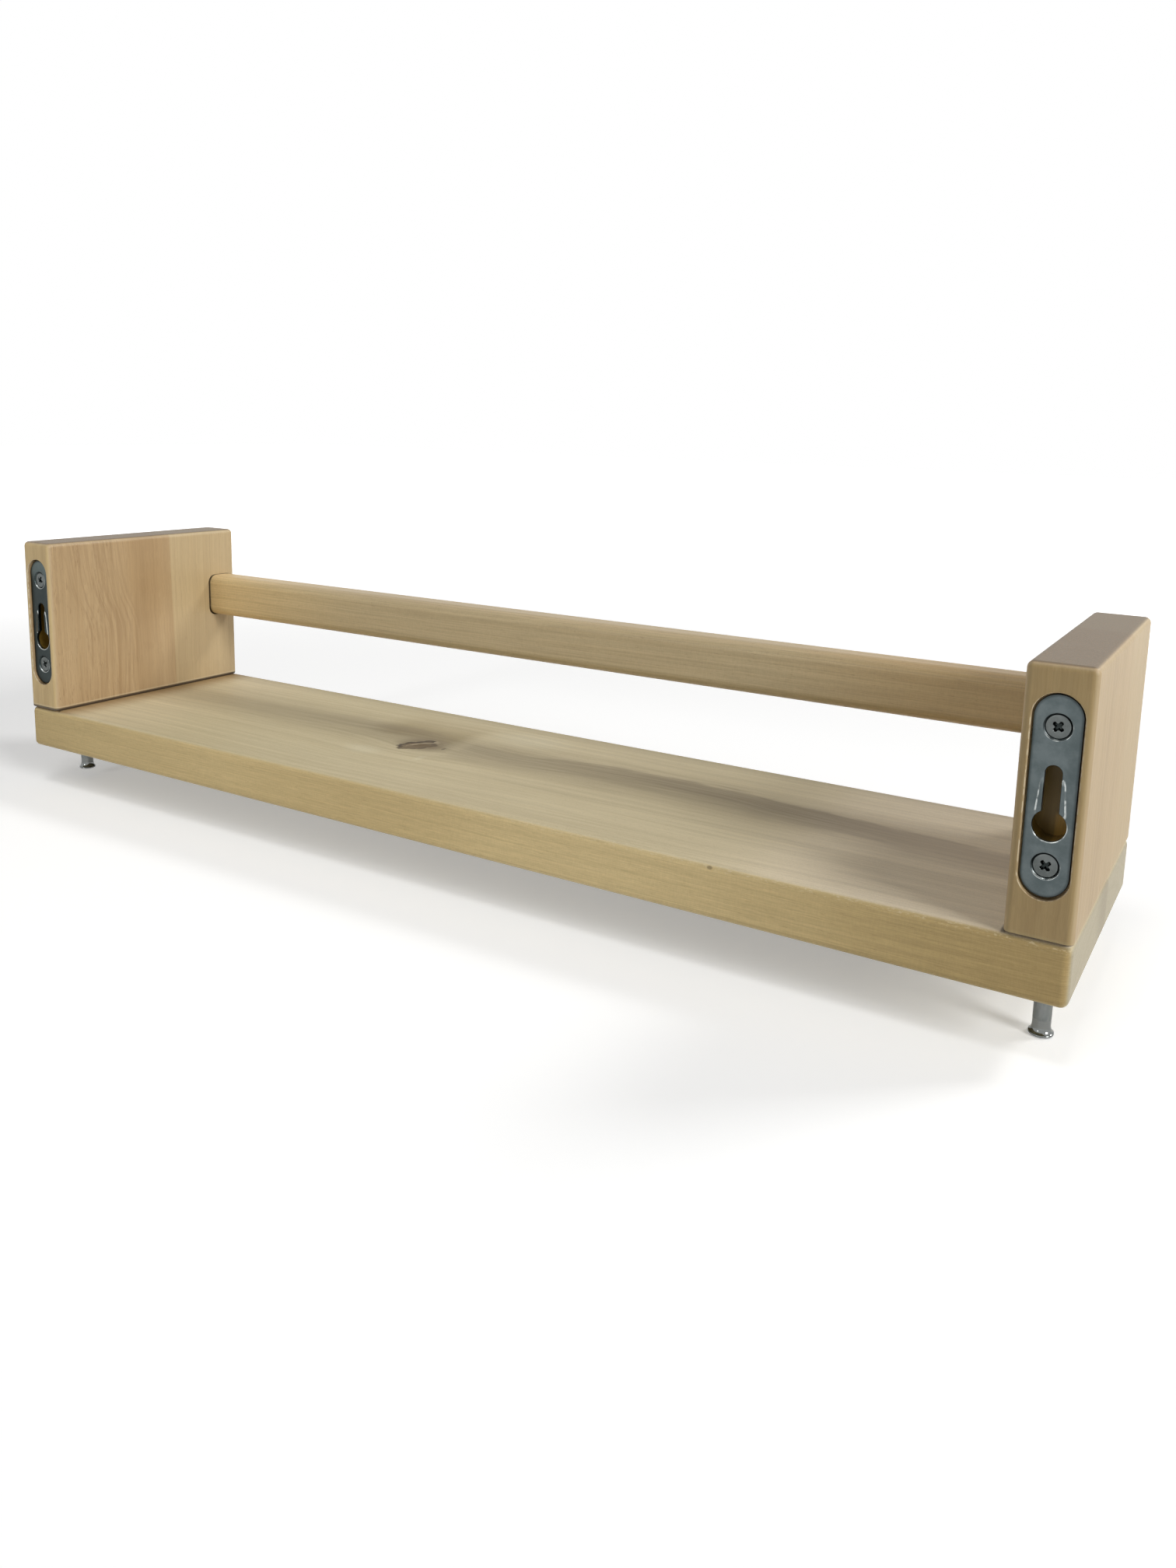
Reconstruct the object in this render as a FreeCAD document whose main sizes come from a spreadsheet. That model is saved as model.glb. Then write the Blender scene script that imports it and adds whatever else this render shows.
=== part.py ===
import FreeCAD, Part
import math
import os
from types import SimpleNamespace

import Sketcher
from FreeCAD import Placement, Rotation, Vector

# A wall shelf in solid wood: a bottom board, two end panels on it, a guard rail along the front,
# a keyhole plate in the rear edge of each panel, and two pegs under the board.
# Millimetres. +X along the shelf, +Y towards the wall, +Z up.
# The origin is the middle of the board's rear face, in the plane of the wall.

# Driving sizes: name, millimetres, what it measures
sizeTable = [
    ("shelfLength", 565, "board from end to end"),
    ("shelfDepth", 132, "board and panels, front to rear"),
    ("boardThickness", 23, "bottom board"),
    ("boardEdgeRadius", 3, "rounding of all board edges"),
    ("panelThickness", 23, "end panels"),
    ("panelHeight", 95, "end panels above the board"),
    ("panelEdgeRadius", 2.5, "rounding of upright and top panel edges"),
    ("panelFootRadius", 0.8, "rounding round the panel foot"),
    ("railThickness", 18, "guard rail, front to rear"),
    ("railHeight", 25, "guard rail, top to bottom"),
    ("railEdgeRadius", 5, "rounding of the long rail edges"),
    ("railSetback", 2, "rail front behind the panel fronts"),
    ("railClearHeight", 41.8, "board top to rail underside"),
    ("housingDepth", 8, "housing for the rail end in each panel"),
    ("housingEndGap", 0.4, "rail end to housing floor"),
    ("housingRearGap", 1, "gap behind the rail in its housing"),
    ("housingUnderGap", 0.5, "gap under the rail in its housing"),
    ("housingFitGap", 0.2, "gap over and in front of the rail in its housing"),
    ("plateLength", 70, "hanger plate"),
    ("plateWidth", 16, "hanger plate"),
    ("plateThickness", 1.5, "hanger plate"),
    ("plateEdgeRadius", 0.3, "rounding of the plate outline"),
    ("plateCentreHeight", 49.7, "plate middle above the board"),
    ("plateSunkDepth", 1.6, "plate face below the panel's rear edge"),
    ("plateSideGap", 0.5, "plate to recess, each side"),
    ("plateEndGap", 0.7, "plate to recess, each end"),
    ("recessRimRadius", 0.3, "rounding of the recess rim"),
    ("screwEndInset", 11, "screw centres from the plate's ends"),
    ("plateHoleDiameter", 5, "screw holes in the plate"),
    ("plateSinkDiameter", 9.3, "countersinks in the plate"),
    ("entryDiameter", 11, "round entry of the keyhole"),
    ("entryScrewGap", 14.1, "entry centre above the lower screw centre"),
    ("slotWidth", 5.5, "narrow end of the keyhole"),
    ("slotScrewGap", 15.85, "slot end centre below the upper screw centre"),
    ("ribWidth", 1.6, "pressed ribs beside the slot"),
    ("ribHeight", 0.5, "pressed ribs beside the slot"),
    ("ribRounding", 0.35, "rounding of the ribs"),
    ("ribEndDrop", 1.5, "rib top below the slot end centre"),
    ("pocketWidth", 12.6, "pocket in the wood behind the keyhole"),
    ("pocketDepth", 12, "pocket floor below the panel's rear edge"),
    ("hangerHeadDiameter", 8, "hanger screws"),
    ("hangerHeadRim", 0.3, "hanger screws, straight edge of the head"),
    ("hangerThreadDiameter", 4, "hanger screws"),
    ("hangerCoreDiameter", 2.6, "hanger screws"),
    ("hangerThreadPitch", 1.8, "hanger screws"),
    ("hangerNeckLength", 3.2, "hanger screws, head top to thread"),
    ("hangerScrewLength", 20, "hanger screws"),
    ("hangerTipLength", 2.6, "hanger screws"),
    ("hangerCrossSpan", 4.4, "cross recess, tip to tip"),
    ("hangerCrossSlot", 1.1, "cross recess, width of an arm"),
    ("hangerCrossDepth", 1.7, "cross recess"),
    ("seatGap", 0.03, "screw head cone to its countersink"),
    ("woodSinkGap", 0.1, "screw head cone to the wood"),
    ("threadFitGap", 0.05, "thread to the hole it has cut, each side"),
    ("drillEndGap", 1, "screw, dowel or peg end to the end of its hole"),
    ("baseScrewInset", 50, "rear base screws from the rear"),
    ("baseScrewSpread", 56, "between the two base screws of a panel"),
    ("baseHeadDiameter", 8.5, "base screws"),
    ("baseHeadRim", 0.4, "base screws, straight edge of the head"),
    ("baseHeadSunk", 0.5, "base screw heads below the underside"),
    ("baseThreadDiameter", 4.5, "base screws"),
    ("baseCoreDiameter", 3, "base screws"),
    ("baseThreadPitch", 2.2, "base screws"),
    ("baseNeckLength", 24, "base screws, head top to thread"),
    ("baseScrewLength", 50, "base screws"),
    ("baseTipLength", 3.6, "base screws"),
    ("baseCrossSpan", 4.8, "cross recess, tip to tip"),
    ("baseCrossSlot", 1.2, "cross recess, width of an arm"),
    ("baseCrossDepth", 2.2, "cross recess"),
    ("boreGap", 0.15, "base screw to its hole in the board, each side"),
    ("dowelDiameter", 8, "base dowels"),
    ("dowelLength", 32, "base dowels"),
    ("dowelInBoard", 13, "base dowels, length in the board"),
    ("dowelChamfer", 1, "base dowels"),
    ("dowelFitGap", 0.05, "dowel to its hole, each side"),
    ("pegInset", 26, "pegs from the rear"),
    ("pegShaftDiameter", 6.6, "pegs"),
    ("pegFlareDiameter", 9, "flared end of the pegs"),
    ("leftPegDrop", 22.8, "left peg below the board"),
    ("rightPegDrop", 17.9, "right peg below the board"),
    ("pegFlareLength", 2.8, "pegs, cone of the flare"),
    ("pegRimLength", 1.4, "pegs, straight rim of the flare"),
    ("pegRimRounding", 0.6, "pegs, rounding of the rim"),
    ("pegThreadDiameter", 5, "pegs, thread in the board"),
    ("pegCoreDiameter", 3.4, "pegs, thread in the board"),
    ("pegThreadPitch", 2, "pegs, thread in the board"),
    ("pegShankLength", 16, "pegs, thread in the board"),
    ("pegTipLength", 2.4, "pegs, point of the thread"),
]
countersinkAngle = 90
fullTurn = 360
crossTurns = {"left_upper": 52, "left_lower": 40, "right_upper": 62, "right_lower": 28, "base": 45}
threadPeakShare = 0.3
threadFootShare = 0.6

doc = FreeCAD.newDocument("WallShelf")
sheet = doc.addObject("Spreadsheet::Sheet", "Sizes")
for row, (alias, number, note) in enumerate(sizeTable, start=1):
    sheet.set("A%d" % row, alias)
    sheet.set("B%d" % row, str(number))
    sheet.set("C%d" % row, note)
    sheet.setAlias("B%d" % row, alias)
doc.recompute()


# A length with its number and the sheet expression that it is bound by
class Size:
    def __init__(self, number, text):
        self.number = number
        self.text = text

    def __add__(self, other):
        other = asSize(other)
        return Size(self.number + other.number, "(%s + %s)" % (self.text, other.text))

    def __sub__(self, other):
        other = asSize(other)
        return Size(self.number - other.number, "(%s - %s)" % (self.text, other.text))

    def __mul__(self, factor):
        return Size(self.number * factor, "(%s * %r)" % (self.text, factor))

    def __truediv__(self, factor):
        return Size(self.number / factor, "(%s / %r)" % (self.text, factor))

    def __neg__(self):
        return Size(-self.number, "(0 - %s)" % self.text)


def asSize(value):
    return value if isinstance(value, Size) else Size(value, repr(value))


s = SimpleNamespace(**{alias: Size(number, "Sizes." + alias) for alias, number, note in sizeTable})


# Sketches: every point, radius and offset is bound to the sheet

def bodyOf(label):
    body = doc.addObject("PartDesign::Body", label)
    body.Label = label
    return body


def placeBody(body, x, y, z, turn=None):
    body.Placement = Placement(Vector(), turn or Rotation())
    for axis, place in (("x", x), ("y", y), ("z", z)):
        body.setExpression("Placement.Base." + axis, asSize(place).text)


def sketchOn(body, name, role, lift=0):
    plane = next(item for item in body.Origin.OriginFeatures if item.Role == role)
    sketch = body.newObject("Sketcher::SketchObject", name)
    sketch.AttachmentSupport = [(plane, "")]
    sketch.MapMode = "FlatFace"
    if isinstance(lift, Size):
        sketch.setExpression("AttachmentOffset.Base.z", lift.text)
    return sketch


def bindSpan(sketch, kind, *where, span):
    index = sketch.addConstraint(Sketcher.Constraint(kind, *where, span.number))
    sketch.setExpression("Constraints[%d]" % index, span.text)


def bindPoint(sketch, item, end, x, y):
    for kind, place, axis in (("DistanceX", asSize(x), -2), ("DistanceY", asSize(y), -1)):
        if place.number:
            bindSpan(sketch, kind, -1, 1, item, end, span=place)
        else:
            sketch.addConstraint(Sketcher.Constraint("PointOnObject", item, end, axis))


def drawPolygon(sketch, points):
    corners = [Vector(asSize(x).number, asSize(y).number, 0) for x, y in points]
    ends = corners[1:] + corners[:1]
    lines = [sketch.addGeometry(Part.LineSegment(a, b)) for a, b in zip(corners, ends)]
    for line, following in zip(lines, lines[1:] + lines[:1]):
        sketch.addConstraint(Sketcher.Constraint("Coincident", line, 2, following, 1))
    for line, (x, y) in zip(lines, points):
        bindPoint(sketch, line, 1, x, y)


def drawCircle(sketch, x, y, diameter):
    middle = Vector(asSize(x).number, asSize(y).number, 0)
    circle = sketch.addGeometry(Part.Circle(middle, Vector(0, 0, 1), diameter.number / 2))
    bindPoint(sketch, circle, 3, x, y)
    bindSpan(sketch, "Diameter", circle, span=diameter)


# An upright slot with round ends, from the centre of its low end to the centre of its high end
def drawSlot(sketch, x, low, high, width):
    normal = Vector(0, 0, 1)
    across, radius = asSize(x).number, width.number / 2
    bottom, top = asSize(low).number, asSize(high).number
    upper = sketch.addGeometry(Part.ArcOfCircle(Part.Circle(Vector(across, top, 0), normal, radius), 0, math.pi))
    left = sketch.addGeometry(Part.LineSegment(Vector(across - radius, top, 0), Vector(across - radius, bottom, 0)))
    lowerCircle = Part.Circle(Vector(across, bottom, 0), normal, radius)
    lower = sketch.addGeometry(Part.ArcOfCircle(lowerCircle, math.pi, 2 * math.pi))
    right = sketch.addGeometry(Part.LineSegment(Vector(across + radius, bottom, 0), Vector(across + radius, top, 0)))
    loop = [upper, left, lower, right]
    for item, following in zip(loop, loop[1:] + loop[:1]):
        sketch.addConstraint(Sketcher.Constraint("Tangent", item, 2, following, 1))
    bindPoint(sketch, upper, 3, x, high)
    bindPoint(sketch, lower, 3, x, low)
    sketch.addConstraint(Sketcher.Constraint("Equal", upper, lower))
    bindSpan(sketch, "Radius", upper, span=width / 2)


# A rectangle with round corners, between two opposite corners
def drawRoundedRectangle(sketch, left, right, low, high, radius):
    normal = Vector(0, 0, 1)
    r = radius.number
    inner = [(right.number - r, high.number - r), (left.number + r, high.number - r),
             (left.number + r, low.number + r), (right.number - r, low.number + r)]
    arcs = []
    for quarter, (x, y) in enumerate(inner):
        start = quarter * math.pi / 2
        circle = Part.Circle(Vector(x, y, 0), normal, r)
        arcs.append(sketch.addGeometry(Part.ArcOfCircle(circle, start, start + math.pi / 2)))
    for arc, following, kind in zip(arcs, arcs[1:] + arcs[:1], ("Horizontal", "Vertical") * 2):
        side = Part.LineSegment(sketch.getPoint(arc, 2), sketch.getPoint(following, 1))
        line = sketch.addGeometry(side)
        sketch.addConstraint(Sketcher.Constraint("Tangent", arc, 2, line, 1))
        sketch.addConstraint(Sketcher.Constraint("Tangent", line, 2, following, 1))
    for arc in arcs[1:]:
        sketch.addConstraint(Sketcher.Constraint("Equal", arcs[0], arc))
    bindSpan(sketch, "Radius", arcs[0], span=radius)
    bindPoint(sketch, arcs[0], 3, right - radius, high - radius)
    bindPoint(sketch, arcs[2], 3, left + radius, low + radius)
    sketch.addConstraint(Sketcher.Constraint("Vertical", arcs[0], 3, arcs[3], 3))
    sketch.addConstraint(Sketcher.Constraint("Horizontal", arcs[0], 3, arcs[1], 3))


# Features: each cut is checked to take wood or metal away

def addPad(body, name, sketch, length, turned=False):
    pad = body.newObject("PartDesign::Pad", name)
    pad.Profile = sketch
    pad.Reversed = turned
    pad.setExpression("Length", length.text)
    doc.recompute()
    return pad


def cutPocket(body, name, sketch, depth=None, turned=False):
    before = body.Shape.Volume
    pocket = body.newObject("PartDesign::Pocket", name)
    pocket.Profile = sketch
    pocket.Reversed = turned
    if depth is None:
        pocket.Type = "ThroughAll"
    else:
        pocket.setExpression("Length", depth.text)
    doc.recompute()
    checkCut(body, name, before)


def drillSunk(body, name, sketch, diameter, sinkDiameter, depth=None, turned=False):
    before = body.Shape.Volume
    hole = body.newObject("PartDesign::Hole", name)
    hole.Profile = sketch
    doc.recompute()
    hole.Reversed = turned
    hole.Threaded = False
    hole.DrillPoint = "Flat"
    hole.setExpression("Diameter", diameter.text)
    hole.HoleCutType = "Countersink"
    hole.HoleCutCustomValues = True
    hole.HoleCutCountersinkAngle = countersinkAngle
    hole.setExpression("HoleCutDiameter", sinkDiameter.text)
    if depth is None:
        hole.DepthType = "ThroughAll"
    else:
        hole.DepthType = "Dimension"
        hole.setExpression("Depth", depth.text)
    doc.recompute()
    checkCut(body, name, before)


def checkCut(body, name, before):
    after = body.Shape.Volume
    if after >= before:
        raise RuntimeError("%s takes nothing away from %s" % (name, body.Label))


def roundEdges(body, name, radius, wanted):
    base = body.Tip
    edges = ["Edge%d" % (i + 1) for i, edge in enumerate(base.Shape.Edges) if wanted(edge)]
    fillet = body.newObject("PartDesign::Fillet", name)
    fillet.Base = (base, edges)
    fillet.setExpression("Radius", radius.text)
    doc.recompute()


def isLevel(edge, height):
    box = edge.BoundBox
    return abs(box.ZMin - height) < levelTolerance and abs(box.ZMax - height) < levelTolerance


def facesRear(edge, y):
    box = edge.BoundBox
    return abs(box.YMin - y) < levelTolerance and abs(box.YMax - y) < levelTolerance


levelTolerance = min(number for alias, number, note in sizeTable) / 1000


# Places that several pieces share
panelCentre = (s.shelfLength - s.panelThickness) / 2
boardTop = s.boardThickness / 2
plateCentre = boardTop + s.plateCentreHeight
recessDepth = s.plateSunkDepth + s.plateThickness
screwRise = s.plateLength / 2 - s.screwEndInset
entryDrop = screwRise - s.entryScrewGap
slotEndRise = screwRise - s.slotScrewGap
hangerSunk = (s.plateSinkDiameter - s.hangerHeadDiameter) / 2 - s.hangerHeadRim - s.seatGap
sides = (("left", -1), ("right", 1))
pointForward = Rotation(Vector(0, 0, -1), Vector(0, -1, 0))
pointUp = Rotation(Vector(1, 0, 0), fullTurn / 2)
baseScrewPlaces = (("rear", -s.baseScrewInset), ("front", -(s.baseScrewInset + s.baseScrewSpread)))
dowelPlace = -(s.baseScrewInset + s.baseScrewSpread / 2)


# Bottom board: one rounded plank with the holes for screws, dowels and pegs
def makeBoard():
    body = bodyOf("shelf_board")
    plan = sketchOn(body, "BoardPlan", "XY_Plane")
    half = s.shelfLength / 2
    drawPolygon(plan, [(-half, -s.shelfDepth), (half, -s.shelfDepth), (half, 0), (-half, 0)])
    addPad(body, "BoardPlank", plan, s.boardThickness)
    roundEdges(body, "BoardRounding", s.boardEdgeRadius, lambda edge: True)

    screws = sketchOn(body, "BoardScrewPlaces", "XY_Plane")
    pegs = sketchOn(body, "BoardPegPlaces", "XY_Plane")
    dowels = sketchOn(body, "BoardDowelPlaces", "XY_Plane", s.boardThickness)
    for side, sign in sides:
        for end, y in baseScrewPlaces:
            drawCircle(screws, panelCentre * sign, y, s.baseThreadDiameter)
        drawCircle(pegs, panelCentre * sign, -s.pegInset, s.pegThreadDiameter + s.threadFitGap * 2)
        drawCircle(dowels, panelCentre * sign, dowelPlace, s.dowelDiameter + s.dowelFitGap * 2)
    sink = s.baseHeadDiameter + (s.baseHeadSunk + s.baseHeadRim + s.woodSinkGap) * 2
    drillSunk(body, "BoardScrewHoles", screws, s.baseThreadDiameter + s.boreGap * 2, sink, turned=True)
    cutPocket(body, "BoardPegHoles", pegs, s.pegShankLength + s.drillEndGap, turned=True)
    cutPocket(body, "BoardDowelHoles", dowels, s.dowelInBoard + s.drillEndGap)
    placeBody(body, 0, 0, -s.boardThickness / 2)


# End panel: rounded block with the plate recess and keyhole pocket in its rear edge, the rail housing
# in its inner face, and the holes in its foot. The panels are mirror images
def makePanel(side, sign):
    body = bodyOf(side + "_end_panel")
    plan = sketchOn(body, side + "PanelPlan", "XY_Plane")
    half = s.panelThickness / 2
    drawPolygon(plan, [(-half, -s.shelfDepth), (half, -s.shelfDepth), (half, 0), (-half, 0)])
    addPad(body, side + "PanelBlock", plan, s.panelHeight)
    roundEdges(body, side + "PanelRounding", s.panelEdgeRadius, lambda edge: not isLevel(edge, 0))
    roundEdges(body, side + "PanelFootRounding", s.panelFootRadius, lambda edge: isLevel(edge, 0))

    recess = sketchOn(body, side + "RecessOutline", "XZ_Plane")
    recessWidth = s.plateWidth + s.plateSideGap * 2
    reach = s.plateLength / 2 + s.plateEndGap - recessWidth / 2
    drawSlot(recess, 0, s.plateCentreHeight - reach, s.plateCentreHeight + reach, recessWidth)
    cutPocket(body, side + "PlateRecess", recess, recessDepth, turned=True)
    rim = recessWidth.number / 2 + levelTolerance
    roundEdges(body, side + "RecessRounding", s.recessRimRadius,
               lambda edge: facesRear(edge, 0) and edge.BoundBox.XMax < rim and edge.BoundBox.XMin > -rim)

    pocket = sketchOn(body, side + "PocketOutline", "XZ_Plane")
    low, high = s.plateCentreHeight - entryDrop, s.plateCentreHeight + slotEndRise
    drawSlot(pocket, 0, low, high, s.pocketWidth)
    cutPocket(body, side + "KeyholePocket", pocket, s.pocketDepth, turned=True)

    pilots = sketchOn(body, side + "PilotPlaces", "XZ_Plane", recessDepth)
    for rise in (screwRise, -screwRise):
        drawCircle(pilots, 0, s.plateCentreHeight + rise, s.hangerThreadDiameter)
    reachIn = hangerSunk + s.hangerScrewLength - s.plateThickness + s.drillEndGap
    sink = s.hangerHeadDiameter + (hangerSunk + s.hangerHeadRim - s.plateThickness + s.woodSinkGap) * 2
    pilotDiameter = s.hangerThreadDiameter + s.threadFitGap * 2
    drillSunk(body, side + "HangerPilots", pilots, pilotDiameter, sink, reachIn, turned=True)

    housing = sketchOn(body, side + "HousingOutline", "YZ_Plane", half * -sign)
    front = -(s.shelfDepth - s.railSetback)
    drawRoundedRectangle(housing, front - s.housingFitGap, front + s.railThickness + s.housingRearGap,
                         s.railClearHeight - s.housingUnderGap,
                         s.railClearHeight + s.railHeight + s.housingFitGap, s.railEdgeRadius)
    cutPocket(body, side + "RailHousing", housing, s.housingDepth, turned=sign > 0)

    screws = sketchOn(body, side + "FootScrewPlaces", "XY_Plane")
    for end, y in baseScrewPlaces:
        drawCircle(screws, 0, y, s.baseThreadDiameter + s.threadFitGap * 2)
    screwReach = s.baseHeadSunk + s.baseScrewLength - s.boardThickness + s.drillEndGap
    cutPocket(body, side + "FootScrewHoles", screws, screwReach, turned=True)
    dowel = sketchOn(body, side + "FootDowelPlace", "XY_Plane")
    drawCircle(dowel, 0, dowelPlace, s.dowelDiameter + s.dowelFitGap * 2)
    cutPocket(body, side + "FootDowelHole", dowel, s.dowelLength - s.dowelInBoard + s.drillEndGap, turned=True)
    placeBody(body, panelCentre * sign, 0, boardTop)


# Guard rail: a strip with round long edges, both ends in the panel housings
def makeRail():
    body = bodyOf("front_rail")
    end = sketchOn(body, "RailSection", "YZ_Plane")
    front = -(s.shelfDepth - s.railSetback)
    drawRoundedRectangle(end, front, front + s.railThickness, s.railClearHeight,
                         s.railClearHeight + s.railHeight, s.railEdgeRadius)
    length = s.shelfLength - s.panelThickness * 2 + (s.housingDepth - s.housingEndGap) * 2
    addPad(body, "RailStrip", end, length)
    placeBody(body, -length / 2, 0, boardTop)


# Hanger plate: round-ended plate with a keyhole, a pressed rib each side of the slot and two countersunk holes
def makePlate(side, sign):
    body = bodyOf(side + "_hanger_plate")
    outline = sketchOn(body, side + "PlateOutline", "XZ_Plane")
    reach = (s.plateLength - s.plateWidth) / 2
    drawSlot(outline, 0, -reach, reach, s.plateWidth)
    addPad(body, side + "PlateBlank", outline, s.plateThickness)
    roundEdges(body, side + "PlateRounding", s.plateEdgeRadius, lambda edge: facesRear(edge, 0))

    ribs = sketchOn(body, side + "RibOutlines", "XZ_Plane")
    for across in (1, -1):
        ribCentre = (s.slotWidth + s.ribWidth) / 2
        top = slotEndRise - s.ribEndDrop - s.ribWidth / 2
        drawSlot(ribs, ribCentre * across, -entryDrop, top, s.ribWidth)
    addPad(body, side + "SlotRibs", ribs, s.ribHeight, turned=True)
    roundEdges(body, side + "RibRounding", s.ribRounding, lambda edge: facesRear(edge, s.ribHeight.number))

    slot = sketchOn(body, side + "SlotOutline", "XZ_Plane", -s.ribHeight)
    drawSlot(slot, 0, -entryDrop, slotEndRise, s.slotWidth)
    cutPocket(body, side + "KeyholeSlot", slot, s.ribHeight + s.plateThickness, turned=True)
    entry = sketchOn(body, side + "EntryOutline", "XZ_Plane", -s.ribHeight)
    drawCircle(entry, 0, -entryDrop, s.entryDiameter)
    cutPocket(body, side + "KeyholeEntry", entry, s.ribHeight + s.plateThickness, turned=True)

    screws = sketchOn(body, side + "PlateScrewPlaces", "XZ_Plane")
    for rise in (screwRise, -screwRise):
        drawCircle(screws, 0, rise, s.plateHoleDiameter)
    drillSunk(body, side + "PlateScrewHoles", screws, s.plateHoleDiameter, s.plateSinkDiameter, turned=True)
    placeBody(body, panelCentre * sign, -s.plateSunkDepth, plateCentre)


# Half outline of a thread from its start down to its point, as radius and height
def threadOutline(start, end, tip, thread, core, pitch):
    points = []
    turns = int((start.number - end.number - tip.number) / pitch.number)
    for turn in range(turns):
        foot = start - pitch * turn
        points.append((core / 2, foot))
        points.append((thread / 2, foot - pitch * threadPeakShare))
        points.append((core / 2, foot - pitch * threadFootShare))
    points.append((core / 2, end + tip))
    points.append((0, end))
    return points


def turnBody(label, points):
    body = bodyOf(label)
    profile = sketchOn(body, label + "Profile", "XZ_Plane")
    drawPolygon(profile, points)
    turning = body.newObject("PartDesign::Revolution", label + "Turning")
    turning.Profile = profile
    turning.ReferenceAxis = (profile, ["V_Axis"])
    turning.Angle = fullTurn
    doc.recompute()
    return body


# Countersunk wood screw with a cross recess: head top at height zero, point downwards
def makeScrew(label, use, crossTurn):
    size = {key[len(use):]: value for key, value in vars(s).items() if key.startswith(use)}
    head, core = size["HeadDiameter"], size["CoreDiameter"]
    coneFoot = -(size["HeadRim"] + (head - core) / 2)
    points = [(0, 0), (head / 2, 0), (head / 2, -size["HeadRim"]), (core / 2, coneFoot)]
    points += threadOutline(-size["NeckLength"], -size["ScrewLength"], size["TipLength"],
                            size["ThreadDiameter"], core, size["ThreadPitch"])
    body = turnBody(label, points)
    arms = sketchOn(body, label + "Cross", "XY_Plane")
    arms.AttachmentOffset = Placement(Vector(), Rotation(Vector(0, 0, 1), crossTurn))
    long, thin = size["CrossSpan"] / 2, size["CrossSlot"] / 2
    drawPolygon(arms, [(long, -thin), (long, thin), (thin, thin), (thin, long), (-thin, long), (-thin, thin),
                       (-long, thin), (-long, -thin), (-thin, -thin), (-thin, -long), (thin, -long), (thin, -thin)])
    cutPocket(body, label + "CrossRecess", arms, size["CrossDepth"])
    return body


def makeHangerScrews():
    for side, sign in sides:
        for level, rise in (("upper", screwRise), ("lower", -screwRise)):
            name = side + "_" + level
            body = makeScrew(name + "_hanger_screw", "hanger", crossTurns[name])
            placeBody(body, panelCentre * sign, -(s.plateSunkDepth + hangerSunk), plateCentre + rise,
                      pointForward)


def makeBaseScrews():
    for side, sign in sides:
        for end, y in baseScrewPlaces:
            body = makeScrew(side + "_" + end + "_base_screw", "base", crossTurns["base"])
            placeBody(body, panelCentre * sign, y, s.baseHeadSunk - boardTop, pointUp)


# Peg under the board: thread up into the board, smooth shaft down to a flared end
def makePeg(side, sign, drop):
    rimTop = drop - s.pegRimLength
    thread = threadOutline(Size(0, "0"), -s.pegShankLength, s.pegTipLength, s.pegThreadDiameter,
                           s.pegCoreDiameter, s.pegThreadPitch)
    points = [(0, drop), (s.pegFlareDiameter / 2, drop), (s.pegFlareDiameter / 2, rimTop),
              (s.pegShaftDiameter / 2, rimTop - s.pegFlareLength), (s.pegShaftDiameter / 2, 0)]
    body = turnBody(side + "_underside_peg", points + thread)
    rimHeight = rimTop.number - levelTolerance
    rimRadius = s.pegFlareDiameter.number / 2 - levelTolerance
    roundEdges(body, side + "PegRounding", s.pegRimRounding,
               lambda edge: edge.BoundBox.ZMin > rimHeight and edge.BoundBox.XMax > rimRadius
               and edge.BoundBox.ZLength < levelTolerance)
    placeBody(body, panelCentre * sign, -s.pegInset, -boardTop, pointUp)


# Glued dowel between board and panel
def makeDowel(side, sign):
    radius, chamfer = s.dowelDiameter / 2, s.dowelChamfer
    low, high = -s.dowelInBoard, s.dowelLength - s.dowelInBoard
    body = turnBody(side + "_base_dowel", [(0, low), (radius - chamfer, low), (radius, low + chamfer),
                                           (radius, high - chamfer), (radius - chamfer, high), (0, high)])
    placeBody(body, panelCentre * sign, dowelPlace, boardTop)


makeBoard()
for side, sign in sides:
    makePanel(side, sign)
    makePlate(side, sign)
    makePeg(side, sign, s.leftPegDrop if side == "left" else s.rightPegDrop)
    makeDowel(side, sign)
makeRail()
makeHangerScrews()
makeBaseScrews()
doc.recompute()

for item in doc.Objects:
    if "Invalid" in item.State or "Error" in item.State:
        raise RuntimeError("%s did not rebuild: %s" % (item.Label, item.State))
bodies = [item for item in doc.Objects if item.TypeId == "PartDesign::Body"]
for body in bodies:
    if body.Shape.isNull() or not body.Shape.isValid() or len(body.Shape.Solids) != 1:
        raise RuntimeError(body.Label + " is not one whole solid")

os.makedirs("parts", exist_ok=True)
for body in bodies:
    body.Shape.exportStep("parts/%s.step" % body.Label)
    box = body.Shape.BoundBox
    print("%-28s x %.2f to %.2f  y %.2f to %.2f  z %.2f to %.2f  volume %.1f" % (
        body.Label, box.XMin, box.XMax, box.YMin, box.YMax, box.ZMin, box.ZMax, body.Shape.Volume))
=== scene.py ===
import math

import bmesh
import bpy
from mathutils import Euler, Matrix, Vector
from mathutils.geometry import delaunay_2d_cdt


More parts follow.
